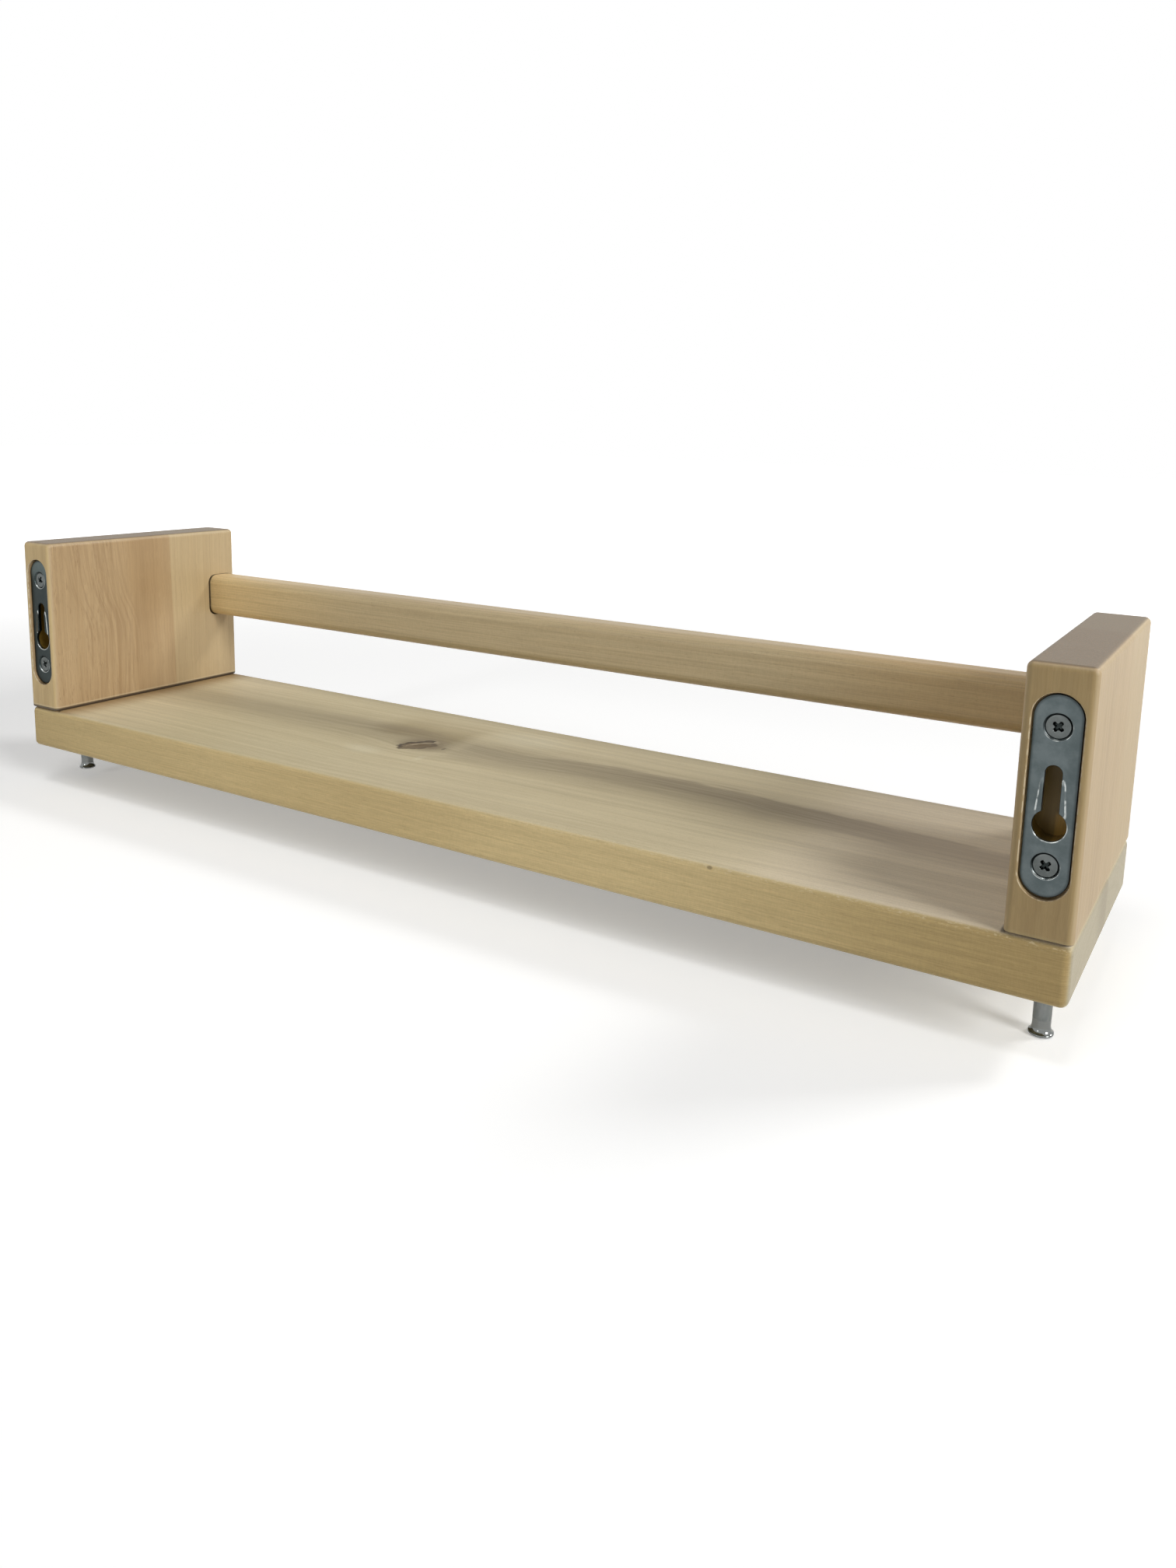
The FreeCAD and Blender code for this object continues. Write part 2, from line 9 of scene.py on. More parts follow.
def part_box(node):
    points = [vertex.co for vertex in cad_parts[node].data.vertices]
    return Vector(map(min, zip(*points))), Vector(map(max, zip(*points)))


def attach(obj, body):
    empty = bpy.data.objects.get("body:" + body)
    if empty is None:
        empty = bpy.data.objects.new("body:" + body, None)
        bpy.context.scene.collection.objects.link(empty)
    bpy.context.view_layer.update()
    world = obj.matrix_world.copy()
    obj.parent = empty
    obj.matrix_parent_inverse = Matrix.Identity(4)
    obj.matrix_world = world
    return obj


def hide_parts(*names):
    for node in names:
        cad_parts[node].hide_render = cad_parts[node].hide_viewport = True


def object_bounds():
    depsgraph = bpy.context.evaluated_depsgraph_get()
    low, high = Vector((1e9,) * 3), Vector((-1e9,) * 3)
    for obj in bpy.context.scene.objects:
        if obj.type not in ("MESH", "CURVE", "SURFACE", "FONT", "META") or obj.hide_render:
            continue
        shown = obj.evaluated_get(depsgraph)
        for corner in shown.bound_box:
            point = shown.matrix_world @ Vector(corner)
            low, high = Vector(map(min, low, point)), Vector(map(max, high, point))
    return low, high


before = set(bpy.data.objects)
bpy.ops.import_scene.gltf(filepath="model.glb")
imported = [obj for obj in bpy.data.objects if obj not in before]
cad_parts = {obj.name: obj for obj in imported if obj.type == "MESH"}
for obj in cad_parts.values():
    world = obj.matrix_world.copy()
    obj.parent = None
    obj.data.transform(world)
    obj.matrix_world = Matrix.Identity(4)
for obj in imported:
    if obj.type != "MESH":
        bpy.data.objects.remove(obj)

mm = 0.001
perMetre = 1000
flatTolerance = 1e-7
smoothAngle = math.radians(38)  # faces that meet at less than this are shaded as one
white = (1.0, 1.0, 1.0, 1)
scene = bpy.context.scene
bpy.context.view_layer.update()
print("frame loaded:", len(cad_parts), "nodes")


# Small tools for node trees

def newFinish(name):
    finish = bpy.data.materials.new(name)
    finish.use_nodes = True
    finish.node_tree.nodes.clear()
    return finish, finish.node_tree


def addNode(tree, kind, inputs=None, **settings):
    node = tree.nodes.new("ShaderNode" + kind)
    for key, value in settings.items():
        setattr(node, key, value)
    for key, value in (inputs or {}).items():
        if isinstance(value, bpy.types.NodeSocket):
            tree.links.new(value, node.inputs[key])
        else:
            node.inputs[key].default_value = value
    return node


# node in the tree of the sockets that it is fed from
def nodeOn(kind, inputs, **settings):
    tree = next(value.id_data for value in inputs.values() if isinstance(value, bpy.types.NodeSocket))
    return addNode(tree, kind, inputs, **settings)


def calc(operation, *values):
    return nodeOn("Math", dict(enumerate(values)), operation=operation).outputs[0]


def times(first, *others):
    for other in others:
        first = calc("MULTIPLY", first, other)
    return first


def minus(first, second):
    return calc("SUBTRACT", first, second)


def absolute(value):
    return calc("ABSOLUTE", value)


# soft step from start to end while the value goes from low to high
def ramped(value, low, high, start=0.0, end=1.0):
    inputs = {"Value": value, "From Min": low, "From Max": high, "To Min": start, "To Max": end}
    return nodeOn("MapRange", inputs, interpolation_type="SMOOTHSTEP").outputs[0]


# product of ramps, each given as a value and its span: low, high and, unless they are 0 and 1, start and end
def ramps(*pairs):
    return times(*(ramped(value, *span) for value, span in pairs))


# full near a line, within its half width, and none beyond the soft border
def nearLine(value, centre, half, border):
    return ramped(absolute(minus(value, centre)), half, half + border, 1.0, 0.0)


def blended(share, first, second, kind="MIX"):
    inputs = {0: share, 6: first, 7: second}
    return nodeOn("Mix", inputs, data_type="RGBA", blend_type=kind).outputs[2]


def tinted(share, colour, tint):
    return blended(share, colour, blended(1.0, colour, tint, "MULTIPLY"))


def vectorCalc(operation, *values):
    node = nodeOn("VectorMath", dict(enumerate(values)), operation=operation)
    return node.outputs["Value" if operation in ("LENGTH", "DOT_PRODUCT") else "Vector"]


def lengthOf(vector):
    return vectorCalc("LENGTH", vector)


def joined(x, y, z):
    return nodeOn("CombineXYZ", {0: x, 1: y, 2: z}).outputs[0]


def parted(vector):
    return nodeOn("SeparateXYZ", {0: vector}).outputs


def placeInMillimetres(tree):
    place = addNode(tree, "TexCoord").outputs["Object"]
    return vectorCalc("MULTIPLY", place, (perMetre,) * 3)


# how far the surface faces along an axis of the part, from -1 to 1
def facing(tree, axis):
    return parted(addNode(tree, "TexCoord").outputs["Normal"])[axis]


# kinds of noise, and the span that most of its values keep to
soft = {"detail": 1.0}
lined = {"detail": 2.0, "roughness": 0.6}
fine = {"detail": 3.0, "roughness": 0.6}
fibrous = {"detail": 3.0, "roughness": 0.65}
cloudy = {"detail": 4.0, "roughness": 0.6}
noiseSpan = (0.3, 0.7)


def noiseOf(vector, sizes, detail=2.0, roughness=0.5, output=0):
    cells = vectorCalc("DIVIDE", vector, sizes)
    inputs = {"Vector": cells, "Scale": 1.0, "Detail": detail, "Roughness": roughness}
    return nodeOn("TexNoise", inputs).outputs[output]


def lineNoise(value, detail=2.0, roughness=0.5):
    inputs = {"W": value, "Scale": 1.0, "Detail": detail, "Roughness": roughness}
    return nodeOn("TexNoise", inputs, noise_dimensions="1D").outputs[0]


# factor that swings about 1 by its depth
def swing(noise, depth, span=noiseSpan):
    return ramped(noise, *span, 1 - depth, 1 + depth)


# value that follows listed points, each a place and the value there
def routeCurve(along, route):
    spanX = route[0][0], route[-1][0]
    spanY = min(y for _, y in route), max(y for _, y in route)
    inputs = {"Value": along, "From Min": spanX[0], "From Max": spanX[1]}
    share = nodeOn("MapRange", inputs).outputs[0]
    curve = nodeOn("FloatCurve", {"Value": share})
    points = curve.mapping.curves[0].points
    while len(points) < len(route):
        points.new(0.5, 0.5)
    for point, (px, py) in zip(points, route):
        point.location = ((px - spanX[0]) / (spanX[1] - spanX[0]), (py - spanY[0]) / (spanY[1] - spanY[0]))
    curve.mapping.update()
    inputs = {"Value": curve.outputs[0], "To Min": spanY[0], "To Max": spanY[1]}
    return nodeOn("MapRange", inputs).outputs[0]


def closeFinish(finish, look, height, inputs):
    bump = nodeOn("Bump", {"Strength": look["bump"], "Distance": look["bumpDepth"], "Height": height})
    surface = nodeOn("BsdfPrincipled", dict(inputs, Normal=bump.outputs[0]))
    nodeOn("OutputMaterial", {"Surface": surface.outputs[0]})
    return finish


# Wood: growth rings round a pith line, long fibres, short pores and slow patches, all in millimetres

woodLook = {
    "fibreSize": (30.0, 0.36, 0.36), "streakSize": (140.0, 2.2, 2.2), "lineSize": (190.0, 0.75, 0.75),
    "poreSize": (3.4, 0.24, 0.24), "patchSize": (80.0, 22.0, 22.0), "fleckSize": (0.55, 0.9, 2.2),
    "bandShare": 0.36, "streakShare": 0.34, "patchShare": 0.30, "toneStops": (0.34, 0.5, 0.66),
    "fibreDepth": 0.05, "lineDepth": 0.05, "fleckDepth": 0.0, "poreRamp": 0.06,
    "fibreSpan": (0.25, 0.75), "fleckSpan": (0.35, 0.7), "fibreRise": 0.5,
    "edgeWidth": 2.2, "endTurn": (0.72, 0.97), "rearTurn": (0.55, 0.95),
    "bump": 0.35, "bumpDepth": 0.12 * mm, "roughnessSpan": (0.2, 0.8), "roughnessSwing": 0.06,
}


# share of the surface that lies near an outer edge of its node
def edgeShare(place, node, width):
    low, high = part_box(node)
    middle = (low + high) / 2 * perMetre
    half = (high - low) / 2 * perMetre
    away = vectorCalc("ABSOLUTE", vectorCalc("SUBTRACT", place, tuple(middle)))
    a, b, c = parted(vectorCalc("SUBTRACT", tuple(half), away))
    lesser = calc("MINIMUM", a, b)
    greater = calc("MAXIMUM", a, b)
    second = calc("MAXIMUM", lesser, calc("MINIMUM", greater, c))
    return ramped(second, 0.0, width, 1.0, 0.0)


# pale edges: worn wood with a painted highlight on the rounded edges
def edgeOn(colour, place, node, look):
    edge = times(edgeShare(place, node, look["edgeWidth"]), look["edgeDepth"])
    return blended(edge, colour, look["edgeWearAndHighlightColour"])


def woodGrain(grain, look):
    bent = grain
    for reach, sizes in look["bends"]:
        sway = vectorCalc("SUBTRACT", noiseOf(grain, sizes, output=1, **soft), (0.5,) * 3)
        bent = vectorCalc("ADD", bent, vectorCalc("MULTIPLY", sway, reach))
    fromPith = vectorCalc("SUBTRACT", bent, (0.0,) + look["pith"])
    ring = lengthOf(vectorCalc("MULTIPLY", fromPith, (0.0, 1.0, 1.0)))
    band = lineNoise(calc("DIVIDE", ring, look["ringGap"]), **fine)
    streak = noiseOf(bent, look["streakSize"], **fine)
    patch = noiseOf(bent, look["patchSize"])
    tone = times(band, look["bandShare"])
    tone = calc("MULTIPLY_ADD", streak, look["streakShare"], tone)
    return calc("MULTIPLY_ADD", patch, look["patchShare"], tone), bent


def toneColour(tone, look):
    ramp = nodeOn("ValToRGB", {0: tone})
    stops = ramp.color_ramp.elements
    stops.new(look["toneStops"][1])
    for stop, place, colour in zip(stops, look["toneStops"], (look["dark"], look["middle"], look["pale"])):
        stop.position = place
        stop.color = colour
    return ramp.outputs[0]


# calm, from 0 to 1, flattens the figure; poreShare says where the pores are open
def woodColour(grain, look, poreShare=1.0, calm=0.0):
    tone, bent = woodGrain(grain, look)
    tone = calc("MULTIPLY_ADD", minus(0.5, tone), calm, tone)
    colour = toneColour(tone, look)
    fibre = noiseOf(bent, look["fibreSize"], **fibrous)
    line = noiseOf(bent, look["lineSize"], **lined)
    fleck = noiseOf(grain, look["fleckSize"], **soft)
    shade = times(swing(fibre, look["fibreDepth"], look["fibreSpan"]),
                  swing(line, look["lineDepth"]),
                  swing(fleck, look["fleckDepth"], look["fleckSpan"]))
    colour = blended(1.0, colour, joined(shade, shade, shade), "MULTIPLY")
    pore = noiseOf(bent, look["poreSize"], **soft)
    pore = ramped(pore, look["poreFrom"], look["poreFrom"] + look["poreRamp"])
    pore = times(pore, poreShare)
    colour = blended(times(pore, look["poreDepth"]), colour, look["poreColour"])
    return colour, minus(times(fibre, look["fibreRise"]), pore), fibre


# end grain is darker and calmer than the long grain, and the rear faces are tinted: yellower on the board,
# painted shade on the left panel and painted light on the right panel
def faceTones(tree, colour, endAxis, look):
    end = ramped(absolute(facing(tree, endAxis)), *look["endTurn"])
    calmer = blended(look["endCalm"], colour, look["middle"])
    colour = blended(end, colour, blended(1.0, calmer, look["endTint"], "MULTIPLY"))
    return tinted(ramped(facing(tree, 1), *look["rearTurn"]), colour, look["rearTint"])


def closeWood(finish, colour, height, fibre, look):
    dull, shiny = look["roughness"] + look["roughnessSwing"], look["roughness"] - look["roughnessSwing"]
    return closeFinish(finish, look, height, {
        "Base Color": colour, "Roughness": ramped(fibre, *look["roughnessSpan"], dull, shiny),
        "Specular IOR Level": look["gloss"]})


# Bottom board: grey-beige top with a smoky streak and one knot, yellower faces, and painted light and shade
# along it

boardLook = dict(
    woodLook, pith=(-70.0, -95.0), ringGap=3.0, fleckDepth=0.025, streakSize=(140.0, 2.4, 1.1),
    fibreSize=(30.0, 0.7, 0.36), lineSize=(160.0, 2.6, 0.50), toneStops=(0.38, 0.5, 0.62),
    bends=(((0.0, 7.0, 1.2), (150.0, 45.0, 45.0)), ((0.0, 1.6, 0.4), (34.0, 13.0, 13.0))),
    dark=(0.450, 0.378, 0.226, 1), middle=(0.515, 0.438, 0.266, 1), pale=(0.565, 0.487, 0.303, 1),
    poreColour=(0.25, 0.18, 0.09, 1), poreFrom=0.66, poreDepth=0.30, fibreDepth=0.035, lineDepth=0.045,
    roughness=0.60, gloss=0.3, edgeWearAndHighlightColour=(0.62, 0.50, 0.28, 1), edgeDepth=0.40,
    endTint=(0.735, 0.765, 0.90, 1), endCalm=0.4, rearTint=(1.02, 0.91, 0.71, 1),
)
topLook = {
    "turn": (0.6, 0.9), "powers": (0.95, 0.97, 1.5),
    # painted light and shade along the top: a factor at each place along x
    "paintedLight": ((-282.5, 1.44), (-235, 1.43), (-180, 1.34), (-120, 1.10), (0, 1.09), (150, 1.03), (240, 1.14),
              (282.5, 1.14)),
    "shadeFrom": (236.0, 261.0), "shadeTint": (0.50, 0.38, 0.26, 1),
    # painted shadow line in the top where each panel stands
    "seatLine": (259.5, 0.4, 0.9), "seatRows": (10.5, 11.2, 0.0, 0.75), "seatShadowColour": (0.05, 0.035, 0.02, 1),
}
rearLook = {
    "turn": (0.3, 0.8), "calm": (-1.0, 0.6), "powers": (0.85, 1.0, 1.35),
    # painted light and shade along the rear face: a factor at each place along x
    "paintedLight": ((-282.5, 0.68), (-255, 0.74), (-215, 0.88), (-170, 1.08), (-100, 1.20), (-50, 1.16), (0, 1.03),
              (50, 1.0), (150, 1.03), (282.5, 0.92)),
    "lineSize": (70.0, 1.0, 0.6), "lineDepth": 0.055, "fleckSize": (9.0, 1.0, 0.5), "fleckDepth": 0.05,
    "fuzzSize": (1.6, 0.7, 0.5), "fuzzSpan": (0.54, 0.68, 0.0, 0.42), "fuzzRows": (7.5, 10.5),
    "fuzzTurn": (0.15, 0.5), "fuzzAlong": (-200.0, 60.0, 1.0, 0.25), "fuzzColour": (0.72, 0.62, 0.42, 1),
    "dent": (-148.8, 0.0, 9.8), "dentReach": (1.5, 3.0, 0.9), "dentEdge": (0.5, 1.0, 0.6, 0.0),
    "dentColour": (0.12, 0.085, 0.045, 1),
}
smokeLook = {
    "colour": (0.235, 0.183, 0.110, 1), "lineSize": (70.0, 1.5, 1.0), "lineSpan": (0.52, 1.3),
    "calmAlong": (-200.0, -110.0, 0.75, 0.0), "calmTone": (0.95, 0.95, 0.95, 1),
    "raggedSize": (45.0, 6.0, 1.0), "ragged": 3.0, "front": (-12.0, -6.0), "rear": (2.0, 22.0, 1.0, 0.0),
    "route": ((-282.5, -70), (-220, -72), (-180, -76), (-140, -80), (-100, -84), (-60, -82), (-20, -77),
              (20, -73), (60, -78), (100, -80), (140, -77), (200, -72), (282.5, -70)),
    "depths": ((-282.5, 0.50), (-240, 0.52), (-140, 0.64), (-60, 0.52), (-10, 0.42), (26, 0.34), (36, 0.10),
               (48, 0.20), (80, 0.32), (110, 0.22), (160, 0.13), (220, 0.10), (282.5, 0.05)),
}
# a patch is its place, its reach and the share of the reach where it starts to fade
knotLook = {
    "place": (51.5, -65.5), "length": 11.5, "width": 6.8, "turn": 60.0, "reach": (30.0, 16.0),
    "pull": 0.5, "calm": (0.3, 3.0, -0.5, 0.4),
    "fanTint": (0.72, 0.68, 0.60, 1), "fanLeft": (30.0, 43.0), "fanRight": (78.0, 104.0, 1.0, 0.0),
    "fanFront": (-122.0, -86.0, 0.05, 1.0), "fanRear": (-82.0, -68.0, 1.0, 0.0),
    "paleTint": (1.06, 1.09, 1.15, 1),
    "palePatches": (((8, -107), (32, 18), 0.2), ((70, -44), (16, 10), 0.2), ((35.5, -47.5), (3, 7), 0.2)),
    "roughSize": (6.0, 6.0, 6.0), "rough": (0.2, 0.8, -0.2, 0.2), "ringCount": 5.0,
    "halo": ((49.0, -68.5), (21.0, 16.0), 0.1), "haloRings": (0.35, 0.65, 0.8, 1.0),
    "haloColour": (0.17, 0.122, 0.066, 1),
    "heart": (0.78, 1.14, 0.95, 0.0), "heartRings": (0.3, 0.7, 0.8, 1.0),
    "heartColour": (0.135, 0.090, 0.040, 1),
    "rimInside": (0.62, 0.90), "rimOutside": (0.94, 1.08, 1.0, 0.0), "rimAcross": (-0.4, 0.7, 0.9, 0.25),
    "rimColour": (0.032, 0.019, 0.008, 1),
    "crackSize": (9.0, 9.0, 9.0), "crackDetail": 1.5, "crackWander": (0.3, 0.7, -0.42, 0.08),
    "crackWidth": (-1.0, 0.6, 0.15, 0.045), "crackEdge": (0.6, 1.2, 1.0, 0.0),
    "crackStart": (-1.0, -1.15, 0.9, 0.0), "crackEnd": (0.35, 0.62, 1.0, 0.0),
    "crackColour": (0.42, 0.345, 0.215, 1),
    "bark": ((36.0, -67.6), (1.1, 2.6), 0.4), "barkDepth": 0.5,
}


# painted light and shade along the whole board, each colour channel raised by its own power
def paintedLightAlong(share, colour, tone, powers, *factors):
    shade = joined(*(times(calc("POWER", tone, power), *factors) for power in powers))
    return tinted(share, colour, shade)


# a smoky streak runs along the board: sharp at its front, soft to the rear, with fine lines along it
def smokeOn(colour, x, bentY, look):
    offLine = minus(bentY, routeCurve(x, look["route"]))
    along = joined(x, offLine, 0.0)
    lines = ramped(noiseOf(along, look["lineSize"], **fine), *noiseSpan, *look["lineSpan"])
    lines = blended(ramped(x, *look["calmAlong"]), lines, look["calmTone"])
    ragged = noiseOf(along, look["raggedSize"], **fine)
    ragged = ramped(ragged, *noiseSpan, -look["ragged"], look["ragged"])
    offLine = calc("ADD", offLine, ragged)
    smoke = ramps((offLine, look["front"]), (offLine, look["rear"]))
    smoke = times(smoke, lines, routeCurve(x, look["depths"]))
    return blended(smoke, colour, look["colour"])


# share inside an ellipse round a place of the board's top
def patchOn(flat, place, reach, start):
    away = vectorCalc("DIVIDE", vectorCalc("SUBTRACT", flat, (*place, 0.0)), (*reach, 1.0))
    return ramped(lengthOf(away), start, 1.0, 1.0, 0.0)


# wood that lies round the knot: a brown fan in front of it and pale places beside it
def knotGroundOn(colour, x, y, flat, look):
    for patch in look["palePatches"]:
        colour = tinted(patchOn(flat, *patch), colour, look["paleTint"])
    fan = ramps((x, look["fanLeft"]), (x, look["fanRight"]),
                (y, look["fanFront"]), (y, look["fanRear"]))
    return tinted(fan, colour, look["fanTint"])


# the knot, its dark rim and halo, and the pale crack through it
def knotOn(colour, place, flat, look):
    inputs = {"Vector": flat, "Location": (*look["place"], 0.0),
              "Rotation": (0.0, 0.0, math.radians(look["turn"])),
              "Scale": (look["length"], look["width"], 1.0)}
    knotPlace = nodeOn("Mapping", inputs, vector_type="TEXTURE").outputs[0]
    alongKnot, acrossKnot, _ = parted(knotPlace)
    rough = ramped(noiseOf(place, look["roughSize"]), *look["rough"])
    radius = calc("ADD", lengthOf(knotPlace), rough)
    rings = lineNoise(times(radius, look["ringCount"]))
    halo = times(patchOn(flat, *look["halo"]), ramped(rings, *look["haloRings"]))
    colour = blended(halo, colour, look["haloColour"])
    heart = ramps((radius, look["heart"]), (rings, look["heartRings"]))
    colour = blended(heart, colour, look["heartColour"])
    rim = ramps((radius, look["rimInside"]), (radius, look["rimOutside"]),
                (acrossKnot, look["rimAcross"]))
    colour = blended(rim, colour, look["rimColour"])
    wander = ramped(noiseOf(place, look["crackSize"], look["crackDetail"]), *look["crackWander"])
    offCrack = absolute(minus(acrossKnot, wander))
    offCrack = calc("DIVIDE", offCrack, ramped(alongKnot, *look["crackWidth"]))
    crack = ramps((offCrack, look["crackEdge"]), (alongKnot, look["crackStart"]),
                  (alongKnot, look["crackEnd"]))
    colour = blended(crack, colour, look["crackColour"])
    bark = times(patchOn(flat, *look["bark"]), look["barkDepth"])
    return blended(bark, colour, look["rimColour"])


# top: painted light, paler towards the left end, and painted shade at the foot of the right panel
def boardTopOn(tree, colour, x, look):
    top = ramped(facing(tree, 2), *look["turn"])
    colour = paintedLightAlong(top, colour, routeCurve(x, look["paintedLight"]), look["powers"])
    shaded = times(top, ramped(x, *look["shadeFrom"]))
    return tinted(shaded, colour, look["shadeTint"])


# painted shadow: a dark line in the top at the foot of each panel
def seatShadowsOn(colour, x, z, look):
    seat = nearLine(absolute(x), *look["seatLine"])
    seat = times(seat, ramped(z, *look["seatRows"]))
    return blended(seat, colour, look["seatShadowColour"])


# rear face: painted light and shade, darker and browner towards both ends, fine lines, pale fuzz along its
# upper edge and one dent
def boardRearOn(tree, colour, place, x, z, look):
    rear = ramped(facing(tree, 1), *look["turn"])
    lines = times(swing(noiseOf(place, look["lineSize"], **fibrous), look["lineDepth"]),
                  swing(noiseOf(place, look["fleckSize"]), look["fleckDepth"]))
    colour = paintedLightAlong(rear, colour, routeCurve(x, look["paintedLight"]), look["powers"], lines)
    fuzz = ramps((noiseOf(place, look["fuzzSize"]), look["fuzzSpan"]), (z, look["fuzzRows"]),
                 (absolute(facing(tree, 1)), look["fuzzTurn"]), (x, look["fuzzAlong"]))
    colour = blended(fuzz, colour, look["fuzzColour"])
    fromDent = vectorCalc("SUBTRACT", place, look["dent"])
    fromDent = lengthOf(vectorCalc("DIVIDE", fromDent, look["dentReach"]))
    dent = ramped(fromDent, *look["dentEdge"])
    return blended(dent, colour, look["dentColour"])


def boardFinish():
    look = boardLook
    finish, tree = newFinish("boardWood")
    place = placeInMillimetres(tree)
    x, y, z = parted(place)
    flat = joined(x, y, 0.0)
    # the grain parts round the knot
    fromKnot = vectorCalc("SUBTRACT", flat, (*knotLook["place"], 0.0))
    reach = vectorCalc("DIVIDE", fromKnot, (*knotLook["reach"], 1.0))
    reach = vectorCalc("DOT_PRODUCT", reach, reach)
    pull = calc("DIVIDE", knotLook["pull"], calc("ADD", reach, knotLook["pull"]))
    bentY = minus(y, times(parted(fromKnot)[1], pull))
    rearCalm = ramped(facing(tree, 1), *rearLook["turn"], *rearLook["calm"])
    calm = calc("MAXIMUM", ramped(reach, *knotLook["calm"]), rearCalm)
    colour, height, fibre = woodColour(joined(x, bentY, z), look, 1.0, calm)
    colour = knotGroundOn(colour, x, y, flat, knotLook)
    colour = smokeOn(colour, x, bentY, smokeLook)
    colour = knotOn(colour, place, flat, knotLook)
    colour = edgeOn(colour, place, "shelf_board", look)
    colour = faceTones(tree, colour, 0, look)
    colour = boardTopOn(tree, colour, x, topLook)
    colour = boardRearOn(tree, colour, place, x, z, rearLook)
    colour = seatShadowsOn(colour, x, z, topLook)
    return closeWood(finish, colour, height, fibre, look)


# End panels: glued from two lengths of wood, a wide porous one to the rear and a paler one to the front

panelLook = dict(
    woodLook, pith=(-62.0, 38.0), ringGap=2.6, grainShift=300.0,
    bends=(((0.0, 6.0, 3.0), (90.0, 40.0, 60.0)), ((0.0, 1.5, 1.5), (30.0, 13.0, 13.0)),
           ((0.0, 1.1, 1.1), (7.5, 22.0, 22.0))),
    dark=(0.355, 0.238, 0.118, 1), middle=(0.412, 0.285, 0.148, 1), pale=(0.455, 0.322, 0.173, 1),
    poreSize=(6.0, 0.36, 0.36), poreColour=(0.24, 0.14, 0.06, 1), poreFrom=0.58, poreRamp=0.10,
    poreDepth=0.55, poreShares={"left": 0.15, "right": 1.0}, poreSpread=(-62.0, -22.0, 0.12, 1.0),
    poreTurn=(0.3, 0.8), porePatchSize=(25.0, 7.0, 7.0), porePatchSpan=(0.35, 0.6),
    figureRoute=((8.0, -42.0), (30.0, -43.0), (50.0, -43.5), (62.0, -41.0), (75.0, -36.0), (90.0, -33.0),
                 (108.0, -31.0)),
    figureSize=(45.0, 1.6, 3.0), figureSpan=(0.46, 0.62), figureSpread=(4.0, 12.0, 14.0), figureDepth=0.34,
    heartLine=(0.0, 0.35, 1.4), fibreDepth=0.045, roughness=0.48, gloss=0.5,
    edgeWearAndHighlightColour=(0.56, 0.46, 0.29, 1), edgeDepth=0.38, endTint=(0.40, 0.41, 0.43, 1), endCalm=0.6,
    # painted light and shade on the rear faces: darker and yellower on the left panel, lighter on the right
    # panel
    rearLightTints={"left": (0.75, 0.75, 0.60, 1), "right": (1.21, 1.26, 1.12, 1)},
    outerTurn=(0.5, 0.9), outerShares={"left": 0.3, "right": 1.0}, outerTint=(0.90, 0.93, 0.90, 1),
    seam=(-82.95, -82.65, 1.0, 0.0), seamSlope=(10.0, 110.0, 0.7, -0.9),
    frontTint=(1.11, 1.20, 1.26, 1), frontCalm=0.6, frontShift=(40.0, 130.0, 60.0),
    blush=(-64.0, 94.0), blushReach=(20.0, 60.0), blushEdge=(0.5, 1.15, 1.0, 0.0),
    blushTint=(0.90, 0.86, 0.80, 1),
    speckleSize=(0.7, 1.6, 0.7), speckleSpan=(0.5, 0.7, 0.0, 0.4), speckleTurn=(0.7, 0.95),
    # painted shadow: a dark line at the foot of each panel, in its joint with the board
    footShadowLines={"left": (11.85, 12.15, 0.9, 0.0), "right": (12.7, 13.1, 0.9, 0.0)},
    footShadowColour=(0.045, 0.03, 0.018, 1), footHighlight=(13.5, 0.15, 0.35),
    # painted highlight along the rounded foot edge, on the right panel only
    footHighlightShares={"left": 0.0, "right": 0.5},
)
# the recess for the hanger plate, from the plate's middle; depths are from the wall's plane
recessLook = {
    "floor": (-13.4, -12.8), "mouth": (-3.6, -2.9, 1.0, 0.0), "across": (7.1, 7.6, 1.0, 0.0),
    # tint is painted shade inside the recess, litTint painted light at the entry's foot
    "rise": (29.5, 30.0, 1.0, 0.0), "tint": (0.56, 0.49, 0.12, 1),
    "litAcross": (0.2, -0.8), "litRise": (-7.0, -9.5), "litTint": (2.0, 1.9, 2.2, 1),
    "rim": (8.3, 0.2, 0.5), "straight": 27.0, "chipSize": (1.2, 1.2, 2.6), "chipSpan": (0.42, 0.58, 0.1, 0.8),
    # pale chips with a painted highlight along the rim
    "chipFrom": (-0.9, -0.4), "rimChipAndHighlightColour": (0.66, 0.57, 0.40, 1),
}


# the routed recess: painted shade inside, painted light at the entry's foot, and pale chips with a painted
# highlight along the rim
def recessOn(colour, place, side, look):
    centre = sum(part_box(side + "_hanger_plate"), Vector()) / 2 * perMetre
    x, y, z = parted(place)
    offX, offZ = minus(x, centre.x), minus(z, centre.z)
    across, rise = absolute(offX), absolute(offZ)
    cavity = ramps((y, look["floor"]), (y, look["mouth"]),
                   (across, look["across"]), (rise, look["rise"]))
    colour = tinted(cavity, colour, look["tint"])
    lit = times(ramps((offX, look["litAcross"]), (offZ, look["litRise"])), cavity)
    colour = tinted(lit, colour, look["litTint"])
    beyond = calc("MAXIMUM", minus(rise, look["straight"]), 0.0)
    rim = nearLine(lengthOf(joined(across, beyond, 0.0)), *look["rim"])
    chips = ramps((noiseOf(place, look["chipSize"]), look["chipSpan"]), (y, look["chipFrom"]))
    return blended(times(rim, chips), colour, look["rimChipAndHighlightColour"])


